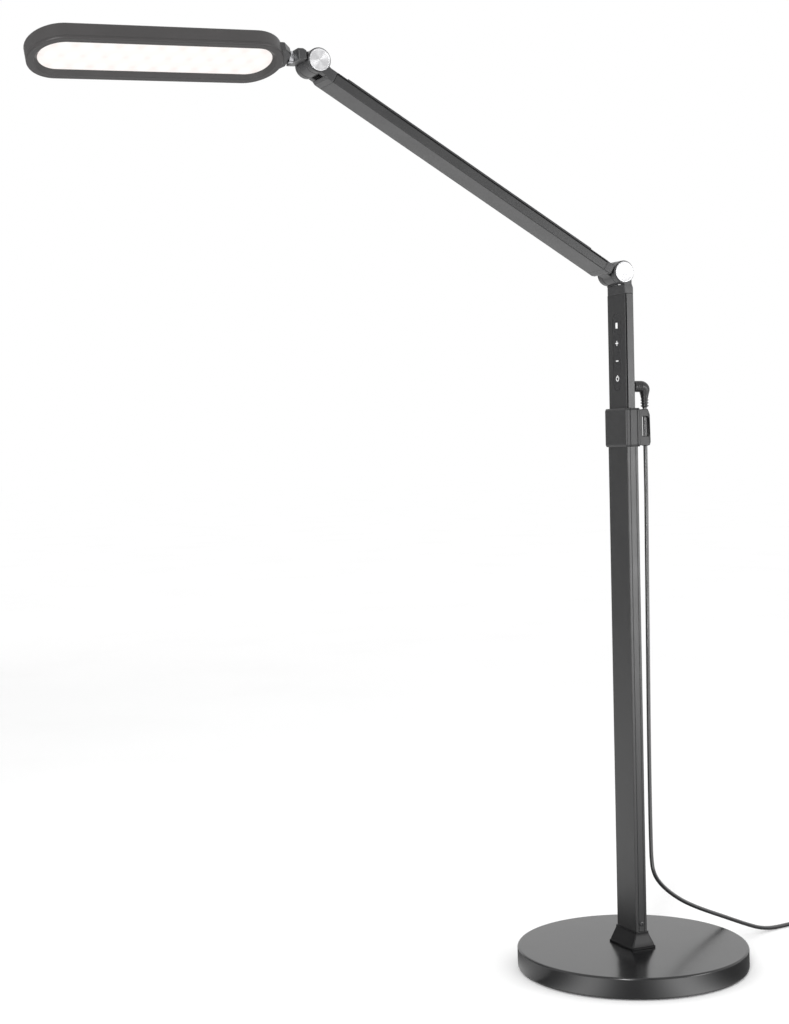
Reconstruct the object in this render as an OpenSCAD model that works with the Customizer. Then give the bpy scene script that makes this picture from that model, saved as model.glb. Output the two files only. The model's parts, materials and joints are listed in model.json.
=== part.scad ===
// Pharmacy floor lamp: a weighted round foot, a telescopic mast with touch
// controls, a folding arm and a long flat LED head that tilts and rolls.
// The head points to -X, the hinge axes run along Y, the floor is Z = 0.

/* [Foot] */
// Diameter of the round foot
base_d = 230; // [200:1:260]
// Height of the round foot
base_h = 21.5; // [18:0.5:26]
// Height of the flared boot around the post
boot_h = 17; // [12:0.5:24]

/* [Mast] */
// Width of the fixed lower tube, along Y
low_w = 35.2; // [35:0.1:38]
// Depth of the fixed lower tube, along X
low_t = 12.8; // [12.6:0.1:14]
// Width of the sliding mast and of the arm
mast_w = 32; // [30:0.5:32.2]
// Thickness of the sliding mast and of the arm
mast_t = 10.2; // [9.8:0.1:10.4]
// Height of the elbow axis above the floor, mast pushed down
elbow_z = 690.8; // [660:0.1:720]
// Top of the collar above the floor
collar_top = 557.5; // [540:0.5:565]

/* [Arm] */
// Distance from the elbow axis to the head hinge axis
arm_l = 366.8; // [300:0.1:420]
// Elevation of the arm as stored, in degrees
arm_elev = 30; // [20:1:40]
// Outer diameter of both hinge barrels
barrel_d = 22.4; // [21:0.2:24]

/* [Head] */
// Length of the LED head
head_l = 232; // [200:1:260]
// Width of the LED head
head_w = 61.4; // [52:0.2:70]
// Thickness of the LED head
head_t = 15.8; // [14:0.2:18]
// Width of the rim around the light panel
rim_w = 6.2; // [5:0.1:8]
// Elevation of the head as stored, in degrees
head_elev = -2.4; // [-6:0.1:6]
// Roll of the head as stored, in degrees
head_roll = 22; // [0:1:30]

/* [Lead] */
// Diameter of the low-voltage lead
cord_d = 4.2; // [4:0.1:4.6]

/* [Hidden] */
$fn = 64;
hull_fn = 32;
eps = 0.02;

// Frames of the moving sub-assemblies
hinge_x = -mast_t / 2;
head_hx = hinge_x - arm_l * cos(arm_elev);
head_hz = elbow_z + arm_l * sin(arm_elev);
roll_z = mast_t / 2;

// Hinge barrels: a middle knuckle between two outer ones, on a stepped axle
barrel_l = mast_w;
mid_l = 16.6;
ear_in = 8.9;
axle_d = 8;
knuckle_gap = 11.8;
cap_d = 20.2;
cap_t = 1.4;

// Mast and arm section: a channel closed by a cover strip, with a groove
skin_t = 1.5;
strip_t = 0.9;
groove_h = 1.3;
rib_t = 2;
corner_r = 1.0;

// Heights along the mast
tube_z0 = base_h + 0.5;
tube_z1 = collar_top - 5;
collar_h = 38;
mast_z0 = 150;
mast_z1 = elbow_z - 21;
jack_z = 579.2;
keys_z = 613.2;
key_pitch = 17.45;

// Neck block and the shaft that the head rolls on
neck_end = 20;
shaft_d = 6;
shaft_end = 33;

// Head, in its own frame: X along the head, the roll axis at the origin
head_cx = -147.2;
head_end = head_cx + head_l / 2;
head_face = -9.2;
head_top = head_face + head_t;
wall = 2;
bracket_t = 8;
tongue_z = head_face + 11.4;

// Low-voltage lead: plug, clip, floor behind the foot, then out to the side
lead_x = 26;
plug_r = 5.6;
plug_drop = 12;
relief_z = 558.2;
cord_r = cord_d / 2;
collar_z0 = collar_top - collar_h;
upper_route = [[26, 0, 558.2], [26, 0, 551], [26, 0, 541], [26, 0, 530], [26, 0, 519.5]];
lower_route = [
    [26, 0, 519.5], [26, 0, 505], [26, 0, 470], [25.5, 0, 420], [25, 0, 360], [24.5, 0, 300],
    [24, 0, 240], [23.8, 0, 190], [23.8, 0, 150], [24, 0, 122], [24.4, 0, 106], [26.6, 0.6, 93],
    [33, 2, 81.5], [46, 4.8, 69], [65, 9, 56], [84, 13.2, 46], [104, 17.6, 37], [124, 22, 28.5],
    [144, 26.4, 20], [162, 30, 12.5], [178, 33.2, 6.6], [193, 36, 3.2], [208, 38.4, 2.1],
    [226, 40.8, 2.1], [244, 42.2, 2.1], [264, 42.7, 2.1], [284, 42.7, 2.1]];
tail_route = [[316, 42.3, 6.3], [323, 39.5, 6.6], [328, 33, 7.2], [330, 25, 7.8], [330, 18, 8], [330, 12, 8]];
coil_c = [300, 72];
coil_r = 23;
coil_columns = 4;
coil_layers = 2;
coil_w = coil_columns * cord_d;
coil_h = coil_layers * cord_d;
adapter_c = [330, -35];

// ---------- shared shapes ----------

module rounded_rect(w, h, r) {
    square([w - 2 * r, h], center = true);
    square([w, h - 2 * r], center = true);
    for (sx = [-1, 1], sy = [-1, 1])
        translate([sx * (w / 2 - r), sy * (h / 2 - r)]) circle(r = r, $fn = 32);
}

module stadium(l, w) {
    square([l - w, w], center = true);
    for (s = [-1, 1]) translate([s * (l - w) / 2, 0]) circle(d = w, $fn = 96);
}

module disc_y(d, y0, y1) {
    translate([0, y1, 0]) rotate([90, 0, 0]) cylinder(d = d, h = y1 - y0);
}

module at_elbow() {
    translate([hinge_x, 0, elbow_z]) children();
}

module at_arm() {
    at_elbow() rotate([0, arm_elev, 0]) children();
}

module at_neck() {
    translate([head_hx, 0, head_hz]) rotate([0, head_elev, 0]) children();
}

module at_head() {
    at_neck() translate([0, 0, roll_z]) rotate([-head_roll, 0, 0]) children();
}

// A box given by its two corners
module span(a, b) {
    translate(a) cube([b[0] - a[0], b[1] - a[1], b[2] - a[2]]);
}

// Cover strip section, lying on the plane z = 0 with its rib above it
module strip_section() {
    translate([0, strip_t / 2]) rounded_rect(mast_w, strip_t, 0.3);
    translate([0, strip_t + rib_t / 2 - eps / 2])
        square([mast_w - 2 * skin_t - 0.4, rib_t + eps], center = true);
}

// Channel section above the groove, open towards the strip
module channel_section() {
    z0 = strip_t + groove_h;
    h = mast_t - z0;
    difference() {
        translate([0, z0 + h / 2]) {
            rounded_rect(mast_w, h, corner_r);
            translate([0, -h / 4]) square([mast_w, h / 2], center = true);
        }
        translate([0, z0 + (h - skin_t) / 2 - eps])
            square([mast_w - 2 * skin_t, h - skin_t + 2 * eps], center = true);
    }
}

// Outer ears of a barrel, joined to a block that plugs the profile end.
// Local X = 0 is the hinge axis and the profile lies above z = 0 towards -X.
module outer_knuckle(reach) {
    difference() {
        union() {
            for (s = [-1, 1])
                disc_y(barrel_d, min(s * ear_in, s * barrel_l / 2), max(s * ear_in, s * barrel_l / 2));
            span([-reach, -mast_w / 2, 0], [-knuckle_gap, mast_w / 2, mast_t]);
            for (s = [-1, 1])
                span([-knuckle_gap - eps, s > 0 ? ear_in : -barrel_l / 2, 0],
                     [-1, s > 0 ? barrel_l / 2 : -ear_in, mast_t - 1.6]);
            span([-reach - 14, -mast_w / 2 + skin_t + 0.15, strip_t + rib_t + 0.2],
                 [-reach + eps, mast_w / 2 - skin_t - 0.15, mast_t - skin_t - 0.15]);
        }
        disc_y(axle_d + 0.1, -barrel_l, barrel_l);
        for (s = [-1, 1])
            disc_y(cap_d - 1.8, s > 0 ? barrel_l / 2 - 2 : -barrel_l / 2 - 1,
                   s > 0 ? barrel_l / 2 + 1 : -barrel_l / 2 + 2);
        disc_y(2 * knuckle_gap, -ear_in, ear_in);
    }
}

// Middle ear of a barrel, joined to a full-width block beyond the outer ears
module middle_knuckle(reach) {
    difference() {
        union() {
            disc_y(barrel_d, -mid_l / 2, mid_l / 2);
            span([-reach, -mast_w / 2, 0], [-knuckle_gap, mast_w / 2, mast_t]);
            span([-knuckle_gap - eps, -mid_l / 2, 0], [-1, mid_l / 2, mast_t - 1.2]);
            span([-reach - 14, -mast_w / 2 + skin_t + 0.15, strip_t + rib_t + 0.2],
                 [-reach + eps, mast_w / 2 - skin_t - 0.15, mast_t - skin_t - 0.15]);
        }
        disc_y(axle_d + 0.1, -barrel_l, barrel_l);
    }
}

// Plain friction axle held between the end caps
module axle() {
    disc_y(axle_d, -barrel_l / 2 + 2.4, barrel_l / 2 - 2.4);
}

module washers() {
    for (s = [-1, 1])
        difference() {
            disc_y(18, s > 0 ? mid_l / 2 + 0.05 : -ear_in + 0.05, s > 0 ? ear_in - 0.05 : -mid_l / 2 - 0.05);
            disc_y(axle_d + 0.1, -barrel_l, barrel_l);
        }
}

// Spun end cap that closes the barrel on the side s
module end_cap(s) {
    y = barrel_l / 2;
    rotate([s > 0 ? -90 : 90, 0, 0]) translate([0, 0, y - 1.9])
        rotate_extrude($fn = 96)
            polygon([[0, 0], [cap_d / 2 - 1, 0], [cap_d / 2 - 1, 1.9], [cap_d / 2, 1.9],
                     [cap_d / 2, 1.9 + cap_t - 0.4], [cap_d / 2 - 0.4, 1.9 + cap_t], [0, 1.9 + cap_t]]);
}

// ---------- foot ----------

module floor_pad() color("#1b1b1c")
    difference() {
        cylinder(d = base_d - 10, h = 1.5, $fn = 128);
        translate([0, 0, -1]) cylinder(d = base_d - 60, h = 4, $fn = 128);
    }

module base_plate() color("#3a3a3c")
    translate([0, 0, 1.5]) cylinder(d = base_d - 6, h = 1.2, $fn = 128);

module base_weight() color("#4a4a4c")
    difference() {
        translate([0, 0, 2.7]) cylinder(d = base_d - 10, h = 12.8, $fn = 128);
        for (s = [-1, 1]) translate([0, s * 11, 2]) {
            cylinder(d = 6.6, h = 20);
            cylinder(d = 12, h = 7);
        }
    }

module base_cover() color("#2a2a2b") {
    r = base_d / 2;
    wall = 2.2;
    edge = 2;
    difference() {
        rotate_extrude($fn = 180) difference() {
            union() {
                translate([0, 1]) square([r - edge, base_h - 1]);
                translate([0, 1.8]) square([r, base_h - 1.8 - edge]);
                translate([0, 1]) square([r - 0.8, 2]);
                translate([r - edge, base_h - edge]) circle(r = edge, $fn = 40);
            }
            translate([-1, 0]) square([r - wall + 1, base_h - 2.2]);
        }
        for (s = [-1, 1]) translate([0, s * 11, 10]) cylinder(d = 6.6, h = 20);
    }
    difference() {
        translate([0, 0, 15.5]) cylinder(d = 60, h = base_h - 17.6);
        for (s = [-1, 1]) translate([0, s * 11, 10]) cylinder(d = 6.6, h = 20);
    }
}

module foot_block() color("#8d8d90")
    difference() {
        translate([0, 0, base_h + 20.5])
            cube([low_t - 2.4, low_w - 3, 40], center = true);
        for (s = [-1, 1]) translate([0, s * 11, base_h - 1]) cylinder(d = 5.2, h = 30);
        translate([0, 0, 46]) rotate([90, 0, 0]) cylinder(d = 2.6, h = 60, center = true);
    }

module foot_bolts() color("#77777a")
    for (s = [-1, 1]) translate([0, s * 11, 0]) {
        translate([0, 0, 3.9]) cylinder(d = 10, h = 5.1);
        translate([0, 0, 9 - eps]) cylinder(d = 5.1, h = 34);
    }

module boot() color("#262627")
    difference() {
        union() {
            translate([0, 0, base_h]) linear_extrude(2.2) rounded_rect(28, 43.4, 1.6);
            hull() {
                translate([0, 0, base_h + 1.2]) linear_extrude(1) rounded_rect(27.2, 42.6, 1.6, $fn = hull_fn);
                translate([0, 0, base_h + boot_h - 1])
                    linear_extrude(1) rounded_rect(low_t + 1.2, low_w + 1.2, 0.8, $fn = hull_fn);
            }
        }
        translate([0, 0, base_h + 30]) cube([low_t + 0.1, low_w + 0.1, 62], center = true);
    }

// Small grooves along both side faces, next to the front and rear corners
module lower_tube() color("#39393b")
    difference() {
        translate([0, 0, tube_z0]) linear_extrude(tube_z1 - tube_z0) difference() {
            rounded_rect(low_t, low_w, 0.9);
            square([low_t - 2, low_w - 2.6], center = true);
            for (sx = [-1, 1], sy = [-1, 1])
                translate([sx * (low_t / 2 - 3.2), sy * low_w / 2]) square([0.9, 0.9], center = true);
        }
        translate([0, 0, 46]) rotate([90, 0, 0]) cylinder(d = 3, h = 60, center = true);
        span([low_t / 2 - 2, -7, collar_top - 30], [low_t / 2 + 1, 7, collar_top - 12]);
    }

module tube_screws() color("#6d6d70")
    for (s = [-1, 1]) translate([0, 0, 46]) rotate([s * -90, 0, 0]) {
        translate([0, 0, low_w / 2 + 0.05]) difference() {
            cylinder(d = 4.6, h = 1);
            translate([0, 0, 0.4]) cylinder(d = 2.2, h = 1, $fn = 6);
        }
        translate([0, 0, low_w / 2 - 8]) cylinder(d = 2.5, h = 8.05 + eps);
    }

module mast_bush() color("#111112")
    translate([0, 0, tube_z1]) linear_extrude(3) difference() {
        rounded_rect(low_t, low_w, 0.9);
        square([mast_t + 0.16, mast_w + 0.16], center = true);
    }

module collar() color("#303032")
    difference() {
        union() {
            translate([0, 0, collar_z0 + 2]) linear_extrude(collar_h - 4)
                rounded_rect(low_t + 5, low_w + 4.4, 2.2);
            hull() {
                translate([0, 0, collar_top - 2.2]) linear_extrude(0.2)
                    rounded_rect(low_t + 5, low_w + 4.4, 2.2, $fn = hull_fn);
                translate([0, 0, collar_top - 0.2]) linear_extrude(0.2)
                    rounded_rect(low_t + 3.2, low_w + 2.6, 1.6, $fn = hull_fn);
            }
            hull() {
                translate([0, 0, collar_z0]) linear_extrude(0.2)
                    rounded_rect(low_t + 3.4, low_w + 2.8, 1.6, $fn = hull_fn);
                translate([0, 0, collar_z0 + 2]) linear_extrude(0.2)
                    rounded_rect(low_t + 5, low_w + 4.4, 2.2, $fn = hull_fn);
            }
        }
        translate([0, 0, collar_z0 - 1]) linear_extrude(tube_z1 + 3.05 - collar_z0 + 1)
            square([low_t + 0.1, low_w + 0.1], center = true);
        translate([0, 0, tube_z1]) linear_extrude(20) square([mast_t + 0.7, mast_w + 0.7], center = true);
    }

module friction_pad() color("#d8d6cf")
    span([mast_t / 2 + 0.1, -6.6, collar_top - 29.6], [low_t / 2, 6.6, collar_top - 12.4]);

module cable_clip() color("#252526") {
    z0 = collar_z0 + 1;
    z1 = collar_top - 1;
    difference() {
        translate([0, 0, z0]) linear_extrude(z1 - z0) union() {
            translate([low_t / 2 + 2.5, -5]) square([lead_x - low_t / 2 - 2.5, 10]);
            translate([lead_x, 0]) circle(r = 5, $fn = 48);
        }
        translate([lead_x, 0, z0 - 1]) cylinder(d = cord_d + 0.6, h = z1 - z0 + 2, $fn = 32);
        span([lead_x - 6, -8, z0 + 9], [lead_x + 3.4, 8, z0 + 29]);
    }
}

// ---------- mast ----------

module upright() {
    translate([hinge_x, 0, 0]) rotate([0, 0, 90]) mirror([0, 1, 0]) children();
}

module mast_channel() color("#3d3d3f")
    difference() {
        translate([0, 0, mast_z0]) linear_extrude(mast_z1 - mast_z0) upright() channel_section();
        translate([0, 0, jack_z]) rotate([0, 90, 0]) cylinder(d = 9.4, h = 20);
    }

module control_strip() color("#2b2b2c")
    difference() {
        translate([0, 0, mast_z0]) linear_extrude(mast_z1 - mast_z0) upright() strip_section();
        // Stadium-shaped recess around the touch keys
        translate([hinge_x - 1, 0, keys_z]) rotate([0, 90, 0]) linear_extrude(1.2) stadium(76, 15);
    }

// Generic key marks: cell, plus, minus and a ring with a bar
module key(z) {
    translate([hinge_x + 0.2, 0, z]) rotate([0, -90, 0]) linear_extrude(0.16) children();
}

module touch_icons() color("#f4f4f4") {
    key(keys_z + 1.5 * key_pitch) square([5.6, 3.4], center = true);
    key(keys_z + 0.5 * key_pitch) union() {
        square([5, 1], center = true);
        square([1, 5], center = true);
    }
    key(keys_z - 0.5 * key_pitch) square([1, 4.6], center = true);
    key(keys_z - 1.5 * key_pitch) union() {
        difference() {
            circle(r = 2.7);
            circle(r = 1.9);
            translate([2, 0]) square([3, 2.2], center = true);
        }
        translate([2.1, 0]) square([2.6, 0.9], center = true);
    }
}

module touch_board() color("#1f5b34")
    span([hinge_x + strip_t + rib_t + 0.05, -12, keys_z - 39], [hinge_x + strip_t + rib_t + 1.25, 12, keys_z + 41]);

module slide_shoe() color("#161617")
    union() {
        span([-mast_t / 2 - 0.15, -mast_w / 2 - 0.15, mast_z0 - 6], [mast_t / 2 + 0.15, mast_w / 2 + 0.15, mast_z0]);
        span([hinge_x + strip_t + rib_t + 0.2, -mast_w / 2 + skin_t + 0.15, mast_z0 - eps],
             [mast_t / 2 - skin_t - 0.15, mast_w / 2 - skin_t - 0.15, mast_z0 + 16]);
    }

// Raised oval land on the back of the mast around the socket
module jack_housing() color("#232324")
    difference() {
        translate([mast_t / 2, 0, jack_z]) rotate([0, 90, 0])
            linear_extrude(3) stadium(26, 14);
        translate([0, 0, jack_z]) rotate([0, 90, 0]) cylinder(d = 8.4, h = 20);
    }

module dc_jack() color("#101011")
    translate([0, 0, jack_z]) rotate([0, 90, 0]) {
        translate([0, 0, -0.3]) cylinder(d = 8, h = 1.4);
        difference() {
            translate([0, 0, 1]) cylinder(d = 8.2, h = mast_t / 2 + 1);
            translate([0, 0, 1.1]) cylinder(d = 5.7, h = 20);
        }
    }

// Right-angle barrel plug: the body turns from the socket to straight down
module dc_plug() color("#161617")
    difference() {
        union() {
            translate([mast_t / 2 + 3.1, 0, jack_z]) rotate([0, 90, 0]) {
                cylinder(d = 9.4, h = 5);
                translate([0, 0, 4.4]) cylinder(d = 2 * plug_r, h = lead_x - mast_t / 2 - 7.5);
            }
            translate([lead_x, 0, jack_z]) sphere(r = plug_r);
            translate([lead_x, 0, jack_z - plug_drop]) cylinder(r1 = 3.6, r2 = plug_r - 0.1, h = plug_drop);
            translate([2.2, 0, jack_z]) rotate([0, 90, 0]) cylinder(d = 5.5, h = 8);
        }
        translate([1, 0, jack_z]) rotate([0, 90, 0]) cylinder(d = 2.1, h = 9);
    }

// Ribbed strain relief: rings on a tapered sleeve
module plug_relief() color("#161617")
    translate([lead_x, 0, relief_z]) {
        cylinder(r1 = 2.7, r2 = 3.3, h = jack_z - plug_drop - relief_z);
        for (i = [0:2]) translate([0, 0, 1 + 2.9 * i]) cylinder(r = 3.9, h = 1.3);
    }

module mast_knuckle() color("#333335")
    at_elbow() rotate([0, -90, 0]) mirror([0, 0, 1]) outer_knuckle(21);

module elbow_axle() color("#9a9a9e") at_elbow() axle();
module elbow_washers() color("#e6e2d6") at_elbow() washers();
module elbow_cap() color("#d9dadc") at_elbow() end_cap(-1);
module elbow_cap_rear() color("#d9dadc") at_elbow() end_cap(1);

// ---------- arm ----------

module arm_prism() {
    translate([-21, 0, 0]) rotate([90, 0, -90]) linear_extrude(arm_l - 42) children();
}

module arm_channel() color("#3d3d3f") at_arm() arm_prism() channel_section();
module arm_strip() color("#2b2b2c") at_arm() arm_prism() strip_section();
module arm_elbow_knuckle() color("#333335") at_arm() middle_knuckle(21);
module arm_head_knuckle() color("#333335")
    at_arm() translate([-arm_l, 0, 0]) mirror([1, 0, 0]) outer_knuckle(21);

module arm_lead() color("#202021")
    at_arm() translate([-36, 0, 6]) rotate([0, -90, 0]) cylinder(d = 2.6, h = arm_l - 72, $fn = 24);

module head_axle() color("#9a9a9e") at_neck() axle();
module head_washers() color("#e6e2d6") at_neck() washers();
module head_cap() color("#d9dadc") at_neck() end_cap(-1);
module head_cap_rear() color("#d9dadc") at_neck() end_cap(1);

// ---------- neck and head ----------

module neck() color("#333335")
    at_neck() difference() {
        union() {
            disc_y(barrel_d, -mid_l / 2, mid_l / 2);
            span([-neck_end, -mast_w / 2, 0], [-knuckle_gap, mast_w / 2, mast_t]);
            span([-knuckle_gap - eps, -mid_l / 2, 0], [-1, mid_l / 2, mast_t - 1.2]);
        }
        disc_y(axle_d + 0.1, -barrel_l, barrel_l);
        translate([-neck_end - 1, 0, roll_z]) rotate([0, 90, 0]) cylinder(d = shaft_d + 0.02, h = 8.6);
    }

// Shaft that the head rolls on, pressed into the bracket
module roll_shaft() color("#a5a5a8")
    at_neck() translate([-shaft_end, 0, roll_z]) rotate([0, 90, 0])
        cylinder(d = shaft_d, h = shaft_end - neck_end + 7.5);

module roll_nut() color("#8f8f92")
    at_neck() translate([-24.2, 0, roll_z]) rotate([0, 90, 0]) difference() {
        cylinder(d = 11, h = 4.1);
        translate([0, 0, -1]) cylinder(d = shaft_d + 0.02, h = 8);
    }

// Flat bar from the roll shaft to the end of the head, with a thin tongue inside it
module head_bracket() color("#333335")
    at_head() difference() {
        union() {
            difference() {
                linear_extrude(bracket_t, center = true)
                    polygon([[-24.4, -9], [-32, -17], [head_end - 8, -17], [head_end - 8, 17], [-32, 17], [-24.4, 9]]);
                head_shape(wall + 0.1, head_face, head_top + 1);
            }
            span([head_end - 18, -16, tongue_z], [head_end - 1, 16, head_top - wall - 0.1]);
        }
        translate([-shaft_end - 1, 0, 0]) rotate([0, 90, 0]) cylinder(d = shaft_d + 0.1, h = 20);
        for (s = [-1, 1]) translate([head_end - 12, s * 12, -3]) cylinder(d = 2.8, h = 8);
    }

module head_shape(inset, z0, z1) {
    translate([head_cx, 0, z0]) linear_extrude(z1 - z0)
        stadium(head_l - 2 * inset, head_w - 2 * inset);
}

module head_housing() color("#323234")
    at_head() difference() {
        union() {
            head_shape(0, head_face + 3, head_top - 1.6);
            head_shape(1.2, head_top - 2, head_top);
        }
        head_shape(wall, head_face, head_top - wall);
        span([head_end - 8.1, -17.1, -bracket_t / 2 - 0.1], [head_end + 2, 17.1, head_top - wall]);
        for (s = [-1, 1]) translate([head_end - 12, s * 12, head_top - wall - 1]) cylinder(d = 2.6, h = 2.6);
    }

module head_bezel() color("#2c2c2d")
    at_head() difference() {
        union() {
            head_shape(0, head_face + 0.6, head_face + 2.9);
            head_shape(0.8, head_face, head_face + 1.4);
            head_shape(2.3, head_face + 0.5, head_face + 5.6);
        }
        head_shape(rim_w, head_face - 1, head_face + 9);
    }

module light_panel() color("#f3f1ea", 0.9)
    at_head() head_shape(rim_w - 2.6, head_face + 5.7, head_face + 7.2);

module led_board() color("#f7f7f5")
    at_head() head_shape(rim_w - 2.6, head_face + 8.4, head_face + 9.6);

module heat_plate() color("#c9cacc")
    at_head() difference() {
        head_shape(rim_w - 2.6, head_face + 9.7, head_face + 11.2);
        span([head_end - 22, -18, -6], [head_end + 2, 18, 6]);
    }

module led_chips() color("#fff4c9")
    at_head() for (row = [-1:1], i = [0:9])
        translate([head_cx - 90 + 19 * i + (row == 0 ? 9.5 : 0), 15 * row, head_face + 7.8])
            cube([3, 3, 1.16], center = true);

module head_screws() color("#6d6d70")
    at_head() for (s = [-1, 1]) translate([head_end - 12, s * 12, 0]) {
        translate([0, 0, tongue_z - 1.5]) cylinder(d = 4.4, h = 1.5);
        translate([0, 0, tongue_z - 0.1]) cylinder(d = 2.5, h = 4);
    }

// ---------- lead ----------

function unit(v) = v / norm(v);
function ring_tangent(p, i) = unit(p[min(i + 1, len(p) - 1)] - p[max(i - 1, 0)]);
function ring_points(p, i, r, sides) =
    let (t = ring_tangent(p, i), u = unit(cross([0.02, 1, 0.01], t)), v = cross(t, u))
    [for (k = [0:sides - 1]) let (a = 360 * k / sides) p[i] + r * (cos(a) * u + sin(a) * v)];

// A closed tube of radius r along the points p
module sweep(p, r, sides = 10) {
    n = len(p);
    points = [for (i = [0:n - 1]) each ring_points(p, i, r, sides)];
    sides_faces = [for (i = [0:n - 2], k = [0:sides - 1])
        let (a = i * sides + k, b = i * sides + (k + 1) % sides) [a, b, b + sides, a + sides]];
    polyhedron(points, concat(sides_faces,
        [[for (k = [sides - 1:-1:0]) k]], [[for (k = [0:sides - 1]) (n - 1) * sides + k]]));
}

// Smooth route through hand-set points, a few steps per stretch
function route_at(p, i, t) =
    let (a = p[max(i - 1, 0)], b = p[i], c = p[i + 1], d = p[min(i + 2, len(p) - 1)])
    0.5 * (2 * b + t * (c - a) + t * t * (2 * a - 5 * b + 4 * c - d) + t * t * t * (3 * b - a - 3 * c + d));
function smooth(p, n) = concat(
    [for (i = [0:len(p) - 2], k = [0:n - 1]) route_at(p, i, k / n)], [p[len(p) - 1]]);

module cord_upper() color("#2a2a2b") sweep(upper_route, cord_r);
module cord_lower() color("#2a2a2b") sweep(smooth(lower_route, 2), cord_r);

module cord_tail() color("#2a2a2b") sweep(smooth(tail_route, 2), cord_r);

// Outer shape of the stowed turns
module cord_coil() color("#2a2a2b")
    translate([coil_c[0], coil_c[1], 0]) rotate_extrude($fn = 64)
        translate([coil_r - coil_w / 2, 0]) square([coil_w, coil_h]);

module coil_tie() color("#141415")
    translate([coil_c[0], coil_c[1], 0]) rotate([0, 0, 45]) difference() {
        span([coil_r - coil_w / 2 - 1.8, -3, 0], [coil_r + coil_w / 2 + 1.4, 3, coil_h + 1.2]);
        span([coil_r - coil_w / 2 - 0.5, -4, -1], [coil_r + coil_w / 2 + 0.1, 4, coil_h + 0.1]);
    }

module power_adapter() color("#1d1d1e")
    translate([adapter_c[0], adapter_c[1], 0]) {
        hull() {
            translate([0, 0, 1.5]) linear_extrude(25) rounded_rect(40, 70, 3, $fn = hull_fn);
            linear_extrude(28) rounded_rect(37, 67, 3, $fn = hull_fn);
        }
        translate([0, 34, 8]) rotate([-90, 0, 0]) cylinder(r1 = 4.4, r2 = 2.7, h = 13);
    }

module adapter_prongs() color("#c8c8ca")
    for (s = [-1, 1]) translate([adapter_c[0] + 6.35 * s - 0.75, adapter_c[1] - 51, 11])
        cube([1.5, 16, 6.4]);

// ---------- drawing ----------

floor_pad();
base_plate();
base_weight();
base_cover();
foot_block();
foot_bolts();
boot();
lower_tube();
tube_screws();
mast_bush();
collar();
friction_pad();
cable_clip();
mast_channel();
control_strip();
touch_icons();
touch_board();
slide_shoe();
jack_housing();
dc_jack();
dc_plug();
plug_relief();
mast_knuckle();
elbow_axle();
elbow_washers();
elbow_cap();
elbow_cap_rear();
arm_channel();
arm_strip();
arm_elbow_knuckle();
arm_head_knuckle();
arm_lead();
head_axle();
head_washers();
head_cap();
head_cap_rear();
neck();
roll_shaft();
roll_nut();
head_bracket();
head_housing();
head_bezel();
heat_plate();
led_board();
led_chips();
light_panel();
head_screws();
cord_upper();
cord_lower();
cord_tail();
cord_coil();
coil_tie();
power_adapter();
adapter_prongs();
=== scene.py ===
"""Looks of the pharmacy floor lamp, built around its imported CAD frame.

Every sub-assembly is a class that makes its pieces from surfaces worked out with numpy. A shape is
given in its own millimetres and a Place puts it into the row frame, in metres.
"""

import json
import logging
import math
from collections.abc import Sequence
from dataclasses import dataclass, field
from enum import Enum

import bmesh
import bpy
import numpy as np
from mathutils import Matrix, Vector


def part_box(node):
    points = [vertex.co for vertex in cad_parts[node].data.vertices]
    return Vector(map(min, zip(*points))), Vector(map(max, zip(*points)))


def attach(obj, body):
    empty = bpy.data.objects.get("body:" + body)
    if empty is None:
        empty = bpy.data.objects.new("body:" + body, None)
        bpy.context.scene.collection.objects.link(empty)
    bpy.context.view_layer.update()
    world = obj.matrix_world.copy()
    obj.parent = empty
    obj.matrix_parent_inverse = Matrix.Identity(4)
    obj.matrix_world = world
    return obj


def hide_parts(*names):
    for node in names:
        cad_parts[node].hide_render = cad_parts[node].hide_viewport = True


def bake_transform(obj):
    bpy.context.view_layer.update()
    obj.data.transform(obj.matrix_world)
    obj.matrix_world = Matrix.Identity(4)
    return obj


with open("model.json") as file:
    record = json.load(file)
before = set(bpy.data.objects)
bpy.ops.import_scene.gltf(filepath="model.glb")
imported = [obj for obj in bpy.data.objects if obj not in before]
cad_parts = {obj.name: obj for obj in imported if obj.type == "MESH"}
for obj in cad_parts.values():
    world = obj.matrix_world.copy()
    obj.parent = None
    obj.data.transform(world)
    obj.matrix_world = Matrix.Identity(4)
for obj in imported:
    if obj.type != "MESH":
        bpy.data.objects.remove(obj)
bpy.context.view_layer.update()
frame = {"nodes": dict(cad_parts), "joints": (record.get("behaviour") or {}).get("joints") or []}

MM = 0.001
Array = np.ndarray
Colour = tuple[float, float, float]
Corner = tuple[float, float, float]
log = logging.getLogger("floor_lamp")


class Body(Enum):
    """The moving bodies of the lamp, by their names in the frame."""

    BASE = "base"
    MAST = "mast"
    ARM = "arm"
    NECK = "neck"
    HEAD = "head"


class Grain(Enum):
    """How the fine relief of a finish runs over its piece."""

    PEEL = "sprayed lacquer, with soft long waves"
    DRAWN = "extruded metal, with fine lines along one axis"
    SPARKED = "moulded plastic with an eroded texture"
    PLAIN = "smooth, with a very fine tooth"


# ---------- places and shapes ----------


def unit(vectors: Array) -> Array:
    """Returns the vectors divided by their lengths."""
    return vectors / np.maximum(np.linalg.norm(vectors, axis=-1, keepdims=True), 1e-12)


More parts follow.
